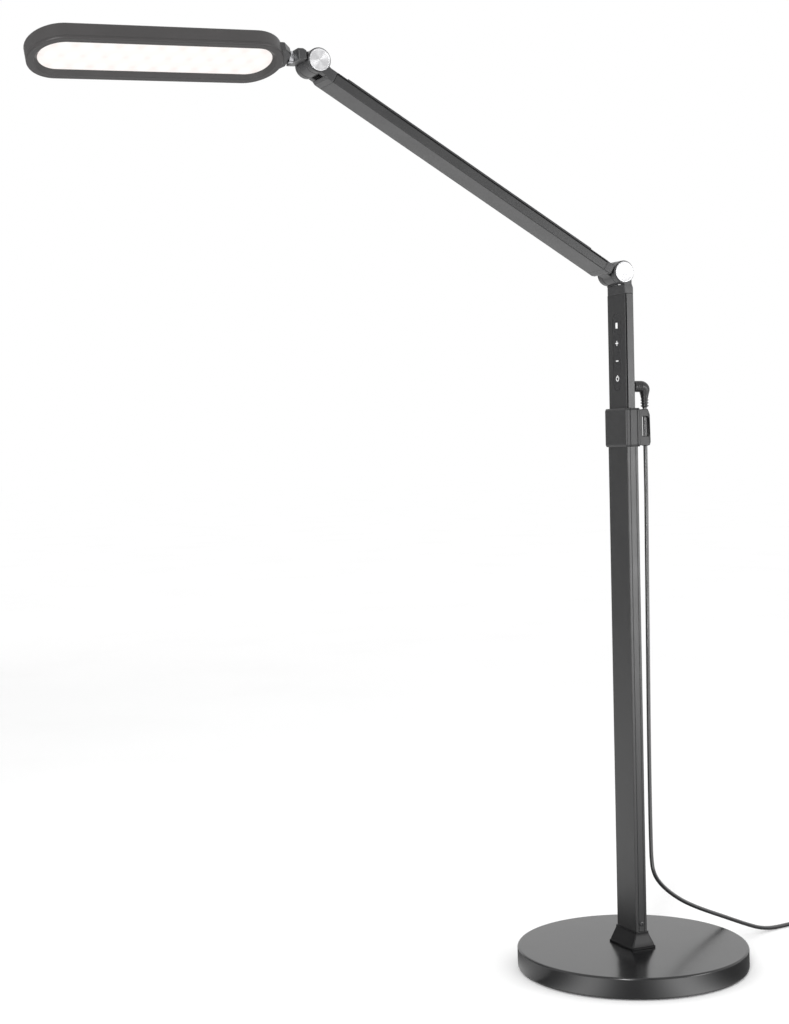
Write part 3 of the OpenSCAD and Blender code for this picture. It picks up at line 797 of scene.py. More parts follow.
@dataclass
class Studio:
    """Camera, floor and soft light. Angles are in degrees and lengths in metres."""

    camera_at: tuple[float, float, float] = (-0.9400, -1.4927, 0.5199)
    azimuth: float = -32.2
    swing: float = 7.437
    pitch: float = 1.958
    roll: float = -1.33
    lens: float = 61.93
    floor_size: float = 60.0
    floor_gap: float = 0.0002
    floor_lift: float = 0.05
    glow_z: float = 0.0003
    glow_ground: float = 0.15
    glow_radii: tuple[float, float] = (0.117, 0.26)
    glow_patches: tuple[Corner, ...] = ((-1.571, 0.31, 3.6), (-2.609, 0.26, 2.8), (2.9, 0.35, 0.8))

    def add_camera(self) -> None:
        """Puts the camera at the view the lamp is drawn from.

        Its heading is the bearing to the origin plus the swing; pitch tips it down and roll turns
        it about its own axis.
        """
        bearing = math.radians(self.azimuth)
        yaw = math.atan2(math.cos(bearing), -math.sin(bearing)) + math.radians(self.swing)
        tip, turn = math.radians(self.pitch), math.radians(self.roll)
        ahead = np.array([math.cos(yaw) * math.cos(tip), math.sin(yaw) * math.cos(tip), -math.sin(tip)])
        right = np.array([math.sin(yaw), -math.cos(yaw), 0.0])
        above = np.cross(right, ahead)
        across = math.cos(turn) * right + math.sin(turn) * above
        above = math.cos(turn) * above - math.sin(turn) * right
        matrix = np.eye(4)
        matrix[:3, 0], matrix[:3, 1], matrix[:3, 2], matrix[:3, 3] = across, above, -ahead, self.camera_at
        data = bpy.data.cameras.new("camera")
        data.sensor_width, data.lens = 36.0, self.lens
        camera = bpy.data.objects.new("camera", data)
        camera.matrix_world = Matrix(matrix.tolist())
        bpy.context.scene.collection.objects.link(camera)
        bpy.context.scene.camera = camera

    def add_floor(self) -> None:
        """Lays a plain pale floor under the lamp."""
        recipe = Recipe("studio_floor")
        tone = recipe.between(recipe.noise(recipe.where(), 3.0, 3), 0.94, 0.96)
        recipe.set(Base_Color=tone, Roughness=0.9, Specular_IOR_Level=0.0)
        recipe.set(Emission_Color=(1, 1, 1, 1), Emission_Strength=self.floor_lift)
        half, low = self.floor_size / 2, -self.floor_gap
        mesh = bpy.data.meshes.new("studio_floor")
        corners = [(-half, -half, low), (half, -half, low), (half, half, low), (-half, half, low)]
        mesh.from_pydata(corners, [], [(0, 1, 2, 3)])
        mesh.materials.append(recipe.material)
        floor = bpy.data.objects.new("studio_floor", mesh)
        bpy.context.scene.collection.objects.link(floor)

    def add_softbox(
        self,
        name: str,
        at: Sequence[float],
        size: tuple[float, float],
        aim: Sequence[float],
        brightness: float,
    ) -> None:
        """Hangs a rectangular softbox.

        Args:
            name: its name.
            at: its middle.
            size: its width and height.
            aim: the point it faces.
            brightness: how bright its face is beside the white room.
        """
        data = bpy.data.lights.new(name, "AREA")
        data.shape, (data.size, data.size_y) = "RECTANGLE", size
        data.energy = brightness * 4 * size[0] * size[1]
        lamp = bpy.data.objects.new(name, data)
        matrix = np.eye(4)
        matrix[:3, :3], matrix[:3, 3] = facing(at, aim).T, at
        lamp.matrix_world = Matrix(matrix.tolist())
        lamp.visible_camera = False
        bpy.context.scene.collection.objects.link(lamp)

    def add_flag(
        self, name: str, at: Sequence[float], size: tuple[float, float], aim: Sequence[float], tone: float
    ) -> None:
        """Stands a card that only reflections and soft light see.

        Args:
            name: its name.
            at: its middle.
            size: its width and height.
            aim: the point it faces.
            tone: how light it is.
        """
        recipe = Recipe(name)
        recipe.set(Base_Color=(tone, tone, tone, 1), Roughness=0.95, Specular_IOR_Level=0.0)
        across, above, _ = facing(at, aim)
        signs = np.array([(-1, -1), (1, -1), (1, 1), (-1, 1)]) / 2
        points = np.array(at) + signs[:, :1] * size[0] * across + signs[:, 1:] * size[1] * above
        mesh = bpy.data.meshes.new(name)
        mesh.from_pydata(points.tolist(), [], [(0, 1, 2, 3)])
        mesh.materials.append(recipe.material)
        card = bpy.data.objects.new(name, mesh)
        card.visible_camera = card.visible_shadow = False
        bpy.context.scene.collection.objects.link(card)

    def add_floor_glow(self) -> None:
        """Lays a ring round the foot that only reflections see, with a soft light at each side.

        At angle a round the foot its light is the ground level plus, for each patch, its peak
        times exp of minus the square of its offset from a over its width. Angles are in radians.
        """
        recipe = Recipe("floor_glow")
        split = recipe.node("SeparateXYZ", {0: recipe.where()}).outputs
        angle = recipe.sums("ARCTAN2", split[1], split[0])
        light = self.glow_ground
        for middle, width, peak in self.glow_patches:
            offset = recipe.sums("DIVIDE", recipe.sums("SUBTRACT", angle, middle), width)
            square = recipe.sums("MULTIPLY", offset, offset)
            fall = recipe.sums("EXPONENT", recipe.sums("MULTIPLY", square, -1.0))
            light = recipe.sums("MULTIPLY_ADD", fall, peak, light)
        recipe.set(Base_Color=(0, 0, 0, 1), Specular_IOR_Level=0.0)
        recipe.set(Emission_Color=(1, 1, 1, 1), Emission_Strength=light)
        count = 64
        k = np.arange(count)
        turn = 2 * np.pi * k / count
        circle = np.stack([np.cos(turn), np.sin(turn), 0 * turn + self.glow_z], 1)
        points = np.concatenate([circle * [radius, radius, 1] for radius in self.glow_radii])
        quads = np.stack([k, (k + 1) % count, (k + 1) % count + count, k + count], 1)
        mesh = bpy.data.meshes.new("floor_glow")
        mesh.from_pydata(points.tolist(), [], quads.tolist())
        mesh.materials.append(recipe.material)
        ring = bpy.data.objects.new("floor_glow", mesh)
        ring.visible_camera = ring.visible_diffuse = ring.visible_shadow = False
        bpy.context.scene.collection.objects.link(ring)

    def light(self) -> None:
        """Lights the lamp: a white room, a softbox, a narrow strip and two cards."""
        world = bpy.data.worlds.new("white_room")
        world.use_nodes = True
        backdrop = next(n for n in world.node_tree.nodes if n.type == "BACKGROUND")
        backdrop.inputs["Color"].default_value = (1.0, 1.0, 1.0, 1)
        backdrop.inputs["Strength"].default_value = 1.0
        bpy.context.scene.world = world
        self.add_softbox("softbox_right", (1.30, -1.90, 0.34), (0.80, 1.00), (0.0, 0.0, 0.36), 5.2)
        self.add_softbox("strip_front", (-1.54, -1.84, 0.90), (0.35, 1.70), (0.0, 0.0, 0.45), 16.0)
        self.add_flag("dark_card", (-1.75, -2.80, 1.10), (2.60, 2.60), (0.0, 0.0, 0.50), 0.03)
        self.add_flag("grey_card", (-1.70, 2.55, 0.90), (2.40, 2.60), (0.0, 0.0, 0.50), 0.45)
        bpy.context.scene.view_settings.view_transform = "Standard"

    def build(self) -> None:
        """Sets the whole studio."""
        self.add_camera()
        self.add_floor()
        self.add_floor_glow()
        self.light()


# ---------- lead ----------


@dataclass
class Lead:
    """Low-voltage lead: from the plug through the clip, down, over the floor, coil and adapter."""

    radius: float = 2.1
    exit_z: float = 558.2
    clip_z: float = 519.5
    coil_centre: tuple[float, float] = (300.0, 72.0)
    coil_radii: tuple[float, ...] = (29.3, 25.1, 20.9, 16.7)
    layer_z: tuple[float, float] = (2.1, 6.3)
    turn_steps: int = 40
    step_share: float = 0.2
    adapter_at: tuple[float, float] = (330.0, -35.0)
    adapter_size: tuple[float, float, float] = (40.0, 70.0, 28.0)
    gland_depth: float = 8.0
    gland_z: float = 8.0
    gland_length: float = 12.9
    gland_r: float = 4.2
    gland_taper: float = 1.5
    gland_ribs: int = 5
    strap_half: tuple[float, float] = (9.4, 4.6)
    strap_wide: float = 3.0
    strap_thick: float = 0.8
    route: tuple[Corner, ...] = (
        (26, 0, 519.5), (26, 0, 505), (26, 0, 470), (25.5, 0, 420), (25, 0, 360), (24.5, 0, 300),
        (24, 0, 240), (23.8, 0, 190), (23.8, 0, 150), (24, 0, 122), (24.4, 0, 106), (26.6, 0.6, 93),
        (33, 2, 81.5), (46, 4.8, 69), (65, 9, 56), (84, 13.2, 46), (104, 17.6, 37), (124, 22, 28.5),
        (144, 26.4, 20), (162, 30, 12.5), (178, 33.2, 6.6), (193, 36, 3.2), (208, 38.4, 2.1),
        (226, 40.8, 2.1), (244, 42.2, 2.1), (264, 42.7, 2.1), (284, 42.7, 2.1), (300, 42.7, 2.1))
    tail: tuple[Corner, ...] = (
        (300, 42.7, 6.3), (316, 42.3, 6.3), (323, 39.5, 6.6), (328, 33, 7.2), (330, 25, 7.8),
        (330, 18, 8), (330, 12, 8))

    def coil(self) -> Array:
        """Winds the stowed turns, two layers of four.

        The place along the coil is counted in turns t, from the side nearest the lamp. The column
        is 0 to 3 in the first layer and back again in the second, and each change of column or
        layer is a smooth step over the last share of its turn.

        Returns:
            The centreline's points.
        """
        columns = len(self.coil_radii)
        total = 2 * columns
        t = np.linspace(0, total, total * self.turn_steps, endpoint=False)
        whole = np.floor(t)
        step = whole + ease((t - whole - (1 - self.step_share)) / self.step_share)
        column = np.where(step <= columns - 1, step, np.where(step >= columns, total - 1 - step, columns - 1))
        radius = np.interp(np.clip(column, 0, columns - 1), np.arange(columns), self.coil_radii)
        height = np.interp(np.clip(step - (columns - 1), 0, 1), (0, 1), self.layer_z)
        angle = 2 * np.pi * t - np.pi / 2
        x, y = self.coil_centre
        return np.stack([x + radius * np.cos(angle), y + radius * np.sin(angle), height], 1)

    def path(self) -> Array:
        """Returns the whole centreline in millimetres: drop, route, coil, tail and its end in the gland."""
        drop_z = np.linspace(self.exit_z, self.clip_z, 12, endpoint=False)
        x, y = self.route[0][:2]
        drop = np.stack([np.full(12, x), np.full(12, y), drop_z], 1)
        route = through(np.array(self.route, float), 8)
        end = np.array(self.tail[-1], float)
        tail = np.concatenate([through(np.array(self.tail, float), 6), [end, end - [0, self.gland_depth, 0]]])
        return np.concatenate([drop, route, self.coil(), tail])

    def add_tie(self) -> bpy.types.Object:
        """Straps the coil with a flat band and a small buckle."""
        c = math.sqrt(0.5)
        outward = ROW.moved(*self.coil_centre, 0).turned((c, c, 0), (0, 0, 1), (c, -c, 0))
        middle = sum(self.coil_radii) / len(self.coil_radii)
        at = outward.moved(middle, 4.7, 0)
        (a, b), w, thick = self.strap_half, self.strap_wide, self.strap_thick
        band = Outline(((-a, -b, 1.5), (a, -b, 1.5), (a, b, 2.2), (-a, b, 2.2)))
        section = Outline(((0, -w, 0.3), (thick, -w, 0.3), (thick, w, 0.3), (0, w, 0.3)), 3)
        strap = walled(band, section)
        buckle = prism(box(4.4, 1.0, 0.3), -w, w, 0.3)
        buckle.points[:, 1] += 4.3
        return add_piece("coil_strap", [strap, buckle], at, TIE, Body.BASE, ["coil_tie"])

    def add_adapter(self) -> bpy.types.Object:
        """Moulds the plug-in adapter: two half shells with a parting line, and its cable gland."""
        width, depth, height = self.adapter_size
        at = ROW.moved(*self.adapter_at, 0)
        shape = box(width, depth, 5.0, 8)
        seam = height / 2
        half = Outline(
            ((0, 0.2, 0.2), (1.4, 0, 1.2), (width / 2 - 5.5, 0, 0), (width / 2 - 5.5, seam - 0.15, 0),
             (0, seam - 0.15, 0.4)), 5)
        lower = walled(shape, half)
        upper = Skin(lower.points * [1, -1, -1] + [0, 0, height], lower.quads, lower.quad_uv)
        core = prism(box(width - 1.2, depth - 1.2, 4.5), 0.6, height - 0.6)
        z, start = self.gland_z, depth / 2 - 1
        path = np.linspace([0, start, z], [0, start + self.gland_length, z], 60)
        share = np.linspace(0, 1, 60)
        ribs = 0.35 * np.cos(2 * np.pi * share * self.gland_ribs)
        gland = tube(path, self.gland_r - self.gland_taper * share + ribs * (share < 0.9), 32)
        skins = [lower, upper, core, gland]
        return add_piece("adapter_body", skins, at, ADAPTER, Body.BASE, ["power_adapter"])

    def build(self, with_pieces: Sequence[bpy.types.Object]) -> None:
        """Makes the lead and dresses what is on it.

        Args:
            with_pieces: the plug's pieces, made with the mast; not used.
        """
        path = self.path()
        sheath = add_piece(
            "lead", [tube(path, self.radius, 16)], ROW, SHEATH, None,
            ["cord_upper", "cord_lower", "cord_coil", "cord_tail"], flat_faces=False,
        )
        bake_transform(sheath)
        extras = [self.add_tie(), self.add_adapter(), frame["nodes"]["adapter_prongs"]]
        dress(NICKEL, "adapter_prongs")


# ---------- foot and post ----------


@dataclass
class Foot:
    """Weighted round foot: lacquered cover over an iron disc, on a foam rubber ring."""

    lip: float = 0.8
    wall: float = 2.2
    edge: float = 2.0
    boss: float = 30.0
    boss_z: float = 15.5

    def build(self) -> None:
        """Makes the cover and the rubber ring, and dresses the parts inside."""
        low, high = span("base_cover")
        r, top, bottom = high[0], high[2], low[2]
        cover = Outline(
            ((0, self.boss_z, 0), (self.boss, self.boss_z, 0), (self.boss, top - self.wall, 0),
             (r - self.wall, top - self.wall, 0.6), (r - self.wall, bottom, 0.3), (r - self.lip, bottom, 0.3),
             (r - self.lip, bottom + 1.0, 0.25), (r, bottom + 1.5, 0.4), (r, top, self.edge), (0, top, 0)), 8)
        add_piece("foot_cover", [lathe(cover, 256)], ROW, LACQUER, Body.BASE, ["base_cover"])
        low, high = span("floor_pad")
        inner, outer, thick = high[0] - 25, high[0], high[2]
        ring = Outline(((inner, 0, 0.3), (outer, 0, 0.3), (outer, thick, 0.2), (inner, thick, 0.2)), 4)
        add_piece("foot_ring", [lathe(ring, 160)], ROW, RUBBER, Body.BASE, ["floor_pad"])
        dress(ZINC, "base_plate")
        dress(IRON, "base_weight")
        dress(DIE_CAST, "foot_block")
        dress(STEEL, "foot_bolts")


@dataclass
class Post:
    """Fixed lower tube in its boot, with the collar and the lead clip at the top."""

    groove: float = 0.9
    groove_depth: float = 0.45
    groove_in: float = 3.2
    tube_wall: tuple[float, float] = (1.0, 1.3)
    collar_groove: tuple[float, float] = (4.7, 2.0)
    clip_half: float = 5.0
    screw_z: float = 46.0
    screw_r: float = 2.3
    screw_tall: float = 1.0
    screw_flat: float = 1.1
    bore_gap: float = 0.1
    boot_plinth: float = 2.4
    boot_lip: float = 1.6
    boot_corner: float = 1.8

    def grooved(
        self, depth: float, width: float, radius: float, inset: float, groove: float, deep: float
    ) -> Outline:
        """Draws the tube's section with a slot in both side faces by each corner.

        Args:
            depth: size along x.
            width: size along y.
            radius: corner radius.
            inset: the slots' middle from the corner, along x.
            groove: slot width.
            deep: slot depth.

        Returns:
            The outline.
        """
        a, b = depth / 2, width / 2
        near, far = a - inset - groove / 2, a - inset + groove / 2
        soft = 0.12
        side = [(-far, -b, soft), (-far, -b + deep, 0.0), (-near, -b + deep, 0.0), (-near, -b, soft)]
        side += [(near, -b, soft), (near, -b + deep, 0.0), (far, -b + deep, 0.0), (far, -b, soft)]
        lower = [(-a, -b, radius), *side, (a, -b, radius)]
        return Outline(tuple(lower + [(-x, -y, r) for x, y, r in lower]), 6)

    def add_tube(self) -> None:
        """Extrudes the tube, hollow, with its four slots."""
        low, high = span("lower_tube")
        depth, width = high[0] - low[0], high[1] - low[1]
        outer = self.grooved(depth, width, 0.9, self.groove_in, self.groove, self.groove_depth)
        a, b = depth / 2 - self.tube_wall[0], width / 2 - self.tube_wall[1]
        bore = self.grooved(2 * a, 2 * b, 0.3, self.groove_in, self.groove, 0.0)
        rings = [outer.ring(low[2]), outer.ring(high[2]), bore.ring(high[2]), bore.ring(low[2])]
        skin = loft(np.stack(rings), closed=True)
        add_piece("post_tube", [skin], ROW, POST_TUBE, Body.BASE, ["lower_tube"])

    def add_boot(self) -> None:
        """Moulds the boot: a plinth that slopes in to a rounded lip round the tube."""
        low, high = span("boot")
        tube_low, tube_high = span("lower_tube")
        gap, corner = self.bore_gap, self.boot_corner
        hole = box(tube_high[0] - tube_low[0] + gap, tube_high[1] - tube_low[1] + gap, 0.6)
        foot_x, foot_y = high[0] - low[0], high[1] - low[1]
        top_x, top_y = tube_high[0] - tube_low[0] + 1.2, tube_high[1] - tube_low[1] + 1.2
        share = ease(np.linspace(0, 1, 9)) * 0.35 + np.linspace(0, 1, 9) * 0.65
        z0, z1 = low[2] + self.boot_plinth, high[2] - self.boot_lip
        foot = box(foot_x, foot_y, corner)
        rings = [foot.ring(low[2], 0.3), foot.ring(low[2] + 0.3)]
        rings += [foot.ring(z0 - 0.6), foot.ring(z0 - 0.1, 0.35)]
        start_x, start_y = foot_x - 1.6, foot_y - 1.6
        for s, z in zip(share, np.linspace(z0, z1, 9)):
            size = start_x + s * (top_x + 0.9 - start_x), start_y + s * (top_y + 0.9 - start_y)
            rings.append(box(*size, corner - 0.8 * s).ring(z))
        lip = box(top_x + 1.0, top_y + 1.0, 1.1)
        rings += [lip.ring(z1 + 0.15), lip.ring(high[2] - 0.5)]
        rings += [lip.ring(high[2] - 0.15, 0.15), lip.ring(high[2], 0.5)]
        rings += [hole.ring(high[2]), hole.ring(low[2])]
        add_piece("post_boot", [loft(np.stack(rings), closed=True)], ROW, BOOT, Body.BASE, ["boot"])

    def add_screws(self) -> None:
        """Turns the two button heads with their hexagon sockets.

        The socket's radius at angle a is its half width over the cosine of the angle to the
        middle of the nearest flat.
        """
        _, high = span("tube_screws")
        flat, tall, r = self.screw_flat, self.screw_tall, self.screw_r
        angle = 2 * np.pi * np.arange(48) / 48
        hexagon = flat / np.cos((angle + np.pi / 6) % (np.pi / 3) - np.pi / 6)
        radii = [0 * angle, 0 * angle + r, 0 * angle + r, 0 * angle + 0.86 * r, 0 * angle + 0.62 * r]
        radii += [hexagon * 1.06, hexagon, 0 * angle]
        heights = (0.0, 0.0, 0.45 * tall, 0.86 * tall, tall, tall, 0.4 * tall, 0.4 * tall)
        x, y = np.array(radii) * np.cos(angle), np.array(radii) * np.sin(angle)
        z = np.array(heights)[:, None] + 0 * x
        head = loft(np.stack([x, y, z], 2), closed=True)
        face = high[1] - tall
        near = ROW.moved(0, -face, self.screw_z).turned((1, 0, 0), (0, 0, 1), (0, -1, 0))
        far = ROW.moved(0, face, self.screw_z).turned((1, 0, 0), (0, 0, -1), (0, 1, 0))
        add_piece("post_screw_near", [head], near, SCREW, Body.BASE, ["tube_screws"])
        add_piece("post_screw_far", [head], far, SCREW, Body.BASE)

    def add_collar(self) -> None:
        """Moulds the collar: chamfered ends, a slot by each corner and a lip over the tube."""
        low, high = span("collar")
        tube_low, tube_high = span("lower_tube")
        depth, width = high[0] - low[0], high[1] - low[1]
        inset, groove = self.collar_groove
        outer = self.grooved(depth, width, 2.2, inset, groove, 0.7)
        bore_x, bore_y = tube_high[:2] - tube_low[:2] + self.bore_gap
        bore = self.grooved(bore_x, bore_y, 0.3, inset, groove, 0.0)
        mouth = self.grooved(bore_x - 2.0, bore_y - 2.6, 0.3, inset - 1.0, groove, 0.0)
        z0, z1 = low[2], high[2]
        rings = [outer.ring(z0 + d, i) for d, i in ((0, 1.15), (0.25, 0.8), (1.9, 0.08), (2.3, 0))]
        rings += [outer.ring(z1 - d, i) for d, i in ((2.3, 0), (1.9, 0.08), (0.25, 0.8), (0, 1.15))]
        ledge = span("mast_bush")[1][2] + 0.05
        rings += [mouth.ring(z1), mouth.ring(ledge), bore.ring(ledge), bore.ring(z0)]
        add_piece("post_collar", [loft(np.stack(rings), closed=True)], ROW, ABS, Body.BASE, ["collar"])

    def add_clip(self) -> None:
        """Moulds the clip behind the collar: a frame with a window that the lead runs through.

        The frame is drawn in the x-z plane, and its half thickness at x follows a half circle
        beyond the lead's own x.
        """
        low, high = span("cable_clip")
        x0, x1, z0, z1 = low[0], high[0], low[2], high[2]
        outer = Outline(
            ((x0, z0, 0.3), (x1 - 2.6, z0, 0.8), (x1, z0 + 3.4, 1.6), (x1 - 1.4, z1 - 5.5, 2.0),
             (x1 - 4.2, z1, 1.2), (x0, z1, 0.3)), 8)
        window = Outline(
            ((x0 + 11.1, z0 + 9, 1.2), (x1 - 4.6, z0 + 9, 0.6), (x1 - 1.6, z0 + 10.4, 1.0),
             (x1 - 2.6, z0 + 27.2, 0.8), (x1 - 4.6, z0 + 29, 0.8), (x0 + 11.1, z0 + 29, 1.2)), 8)
        y = self.clip_half
        soft = 0.5
        layers = [(outer, soft, -y), (outer, 0.15, -y + 0.15), (outer, 0, -y + soft)]
        layers += [(outer, 0, y - soft), (outer, 0.15, y - 0.15), (outer, soft, y)]
        layers += [(window, -0.3, y), (window, 0, y - 0.3), (window, 0, -y + 0.3), (window, -0.3, -y)]
        rings = np.stack([shape.ring(h, d) for shape, d, h in layers])
        rings = rings[..., [0, 2, 1]]
        past = np.clip((rings[..., 0] - (x1 - 5.0)) / 5.6, 0, 1)
        rings[..., 1] *= np.sqrt(1 - past**2)
        collars = []
        x, r = x1 - 5.0, 2.1
        for z, way in ((z0, 1), (z1, -1)):
            section = Outline(
                ((r - 0.2, -0.4, 0.1), (r + 1.1, -0.4, 0.3), (r + 1.1, 1.2, 0.1), (r - 0.2, 1.2, 0.1)), 4)
            eyelet = lathe(section, 32)
            eyelet.points = eyelet.points * [1, 1, way] + [x, 0, z]
            collars.append(eyelet)
        add_piece("lead_clip", [loft(rings, closed=True), *collars], ROW, ABS, Body.BASE, ["cable_clip"])

    def build(self) -> None:
        """Makes the post's pieces and dresses what they hold."""
        self.add_tube()
        self.add_boot()
        self.add_screws()
        self.add_collar()
        self.add_clip()
        dress(NYLON, "mast_bush")
        dress(NATURAL, "friction_pad")


# ---------- hinges, mast, arm ----------


@dataclass(frozen=True)
class Reach:
    """One member seen from its hinge: a runs along it, b up from its strip, c along the hinge."""

    origin: Array
    a: Array
    b: Array

    def side(self) -> Place:
        """Returns the place for outlines in (a, b), carried along c."""
        return Place(self.origin, np.stack([self.a, self.b, np.cross(self.a, self.b)]))

    def along(self) -> Place:
        """Returns the place for sections in (c, b), carried along a."""
        return Place(self.origin, np.stack([np.cross(self.b, self.a), self.b, self.a]))


@dataclass
class Hinge:
    """Barrel hinge: outer ears on one member, a middle knuckle on the other, spun end caps."""

    radius: float = 11.2
    half_width: float = 16.0
    half_middle: float = 8.3
    ear_in: float = 8.9
    gap: float = 11.8
    block: float = 21.0
    thick: float = 10.2
    cap_r: float = 10.1
    cap_out: float = 17.4
    ear_drop: float = 1.6
    knuckle_drop: float = 1.2

    def round_end(self, low: float, high: float, top: float, edge: float = 0.6) -> Skin:
        """Draws a barrel slice joined to its member.

        The outline follows the barrel's circle from the member's top face round to its bottom
        face, then runs into the block.

        Args:
            low: c of one side.
            high: c of the other side.
            top: height of the neck that joins the block.
            edge: radius of the side edges.

        Returns:
            The closed skin.
        """
        rings = []
        angle = np.linspace(0, np.pi / 2, 4)
        steps = [(edge * (1 - math.sin(k)), edge * (1 - math.cos(k))) for k in angle]
        stations = [(i, low + d) for i, d in steps] + [(i, high - d) for i, d in steps[::-1]]
        for inset, c in stations:
            r = self.radius - inset
            turn = np.linspace(math.asin((top - inset) / r), 2 * math.pi, 64)
            arc = np.stack([r * np.cos(turn), r * np.sin(turn)], 1)
            joined = [[self.gap + 0.6, 0.0], [self.gap + 0.6, top - inset]]
            flat = np.concatenate([arc, joined])
            rings.append(np.column_stack([flat, np.full(len(flat), c)]))
        return loft(np.stack(rings))

    def end_block(self, reach: float, slope: float = 1.2, edge: float = 0.9) -> Skin:
        """Draws the block that closes a member's profile, its top sloping to the barrel.

        Args:
            reach: distance from the hinge axis to the profile.
            slope: how far the top comes down.
            edge: radius of the edges along the member.

        Returns:
            The closed skin.
        """
        t = self.thick
        side = Outline(
            ((self.gap, 0, 0.5), (reach - 0.12, 0, 0.15), (reach - 0.12, t, 0.15),
             (self.gap + 3.2, t, 0.8), (self.gap, t - slope, 0.6)), 5)
        return prism(side, -self.half_width, self.half_width, edge)

    def ears(self) -> list[Skin]:
        """Returns the two outer ears."""
        top = self.thick - self.ear_drop
        sides = (-self.half_width, -self.ear_in), (self.ear_in, self.half_width)
        return [self.round_end(low, high, top) for low, high in sides]

    def knuckle(self) -> Skin:
        """Returns the middle knuckle."""
        return self.round_end(-self.half_middle, self.half_middle, self.thick - self.knuckle_drop)

    def outer(self, reach: float) -> list[Skin]:
        """Returns the skins of the member with two ears."""
        return [*self.ears(), self.end_block(reach)]

    def middle(self, reach: float) -> list[Skin]:
        """Returns the skins of the member with the middle knuckle."""
        return [self.knuckle(), self.end_block(reach)]

    def cap(self) -> Skin:
        """Draws a spun cap, shallowly dished, with a turned rim and its spigot."""
        r, out = self.cap_r, self.cap_out
        face = self.half_width
        return lathe(Outline(
            ((0, face - 1.9, 0), (r - 1, face - 1.9, 0.2), (r - 1, face + 0.02, 0), (r, face + 0.02, 0.1),
             (r, out, 0.45), (r - 1.2, out, 0.3), (r - 1.5, out - 0.22, 0.15), (0, out - 0.32, 0)), 6), 128)

    def add_caps(self, at: Place, prefix: str, body: Body) -> None:
        """Fits both caps of a hinge; z of each cap's place points out along the hinge.

        Args:
            at: a place at the hinge with its y along the hinge.
            prefix: the hinge's name, as its CAD caps are named.
            body: the body that carries them.
        """
        near = at.turned((1, 0, 0), (0, 0, 1), (0, -1, 0))
        far = at.turned((1, 0, 0), (0, 0, -1), (0, 1, 0))
        add_piece(f"{prefix}_cap_near", [self.cap()], near, CAP, body, [f"{prefix}_cap"])
        add_piece(f"{prefix}_cap_far", [self.cap()], far, CAP, body, [f"{prefix}_cap_rear"])


@dataclass
class Profile:
    """Section of mast and arm: a channel closed by a strip, with a groove between them."""

    width: float = 32.0
    thick: float = 10.2
    strip: float = 0.9
    groove: float = 1.3
    skin: float = 1.5
    corner: float = 1.0
    rib: float = 2.0

    def channel(self) -> Outline:
        """Returns the channel's section in (c, b)."""
        a, inner, low = self.width / 2, self.width / 2 - self.skin, self.strip + self.groove
        top = self.thick
        return Outline(
            ((-a, low, 0.15), (-inner, low, 0), (-inner, top - self.skin, 0), (inner, top - self.skin, 0),
             (inner, low, 0), (a, low, 0.15), (a, top, self.corner), (-a, top, self.corner)), 7)

    def cover(self) -> Outline:
        """Returns the cover strip's section in (c, b)."""
        a, inner = self.width / 2, self.width / 2 - self.skin - 0.2
        s = self.strip
        return Outline(
            ((-a, 0, 0.35), (a, 0, 0.35), (a, s, 0.15), (inner, s, 0), (inner, s + self.rib, 0),
             (-inner, s + self.rib, 0), (-inner, s, 0), (-a, s, 0.15)), 6)


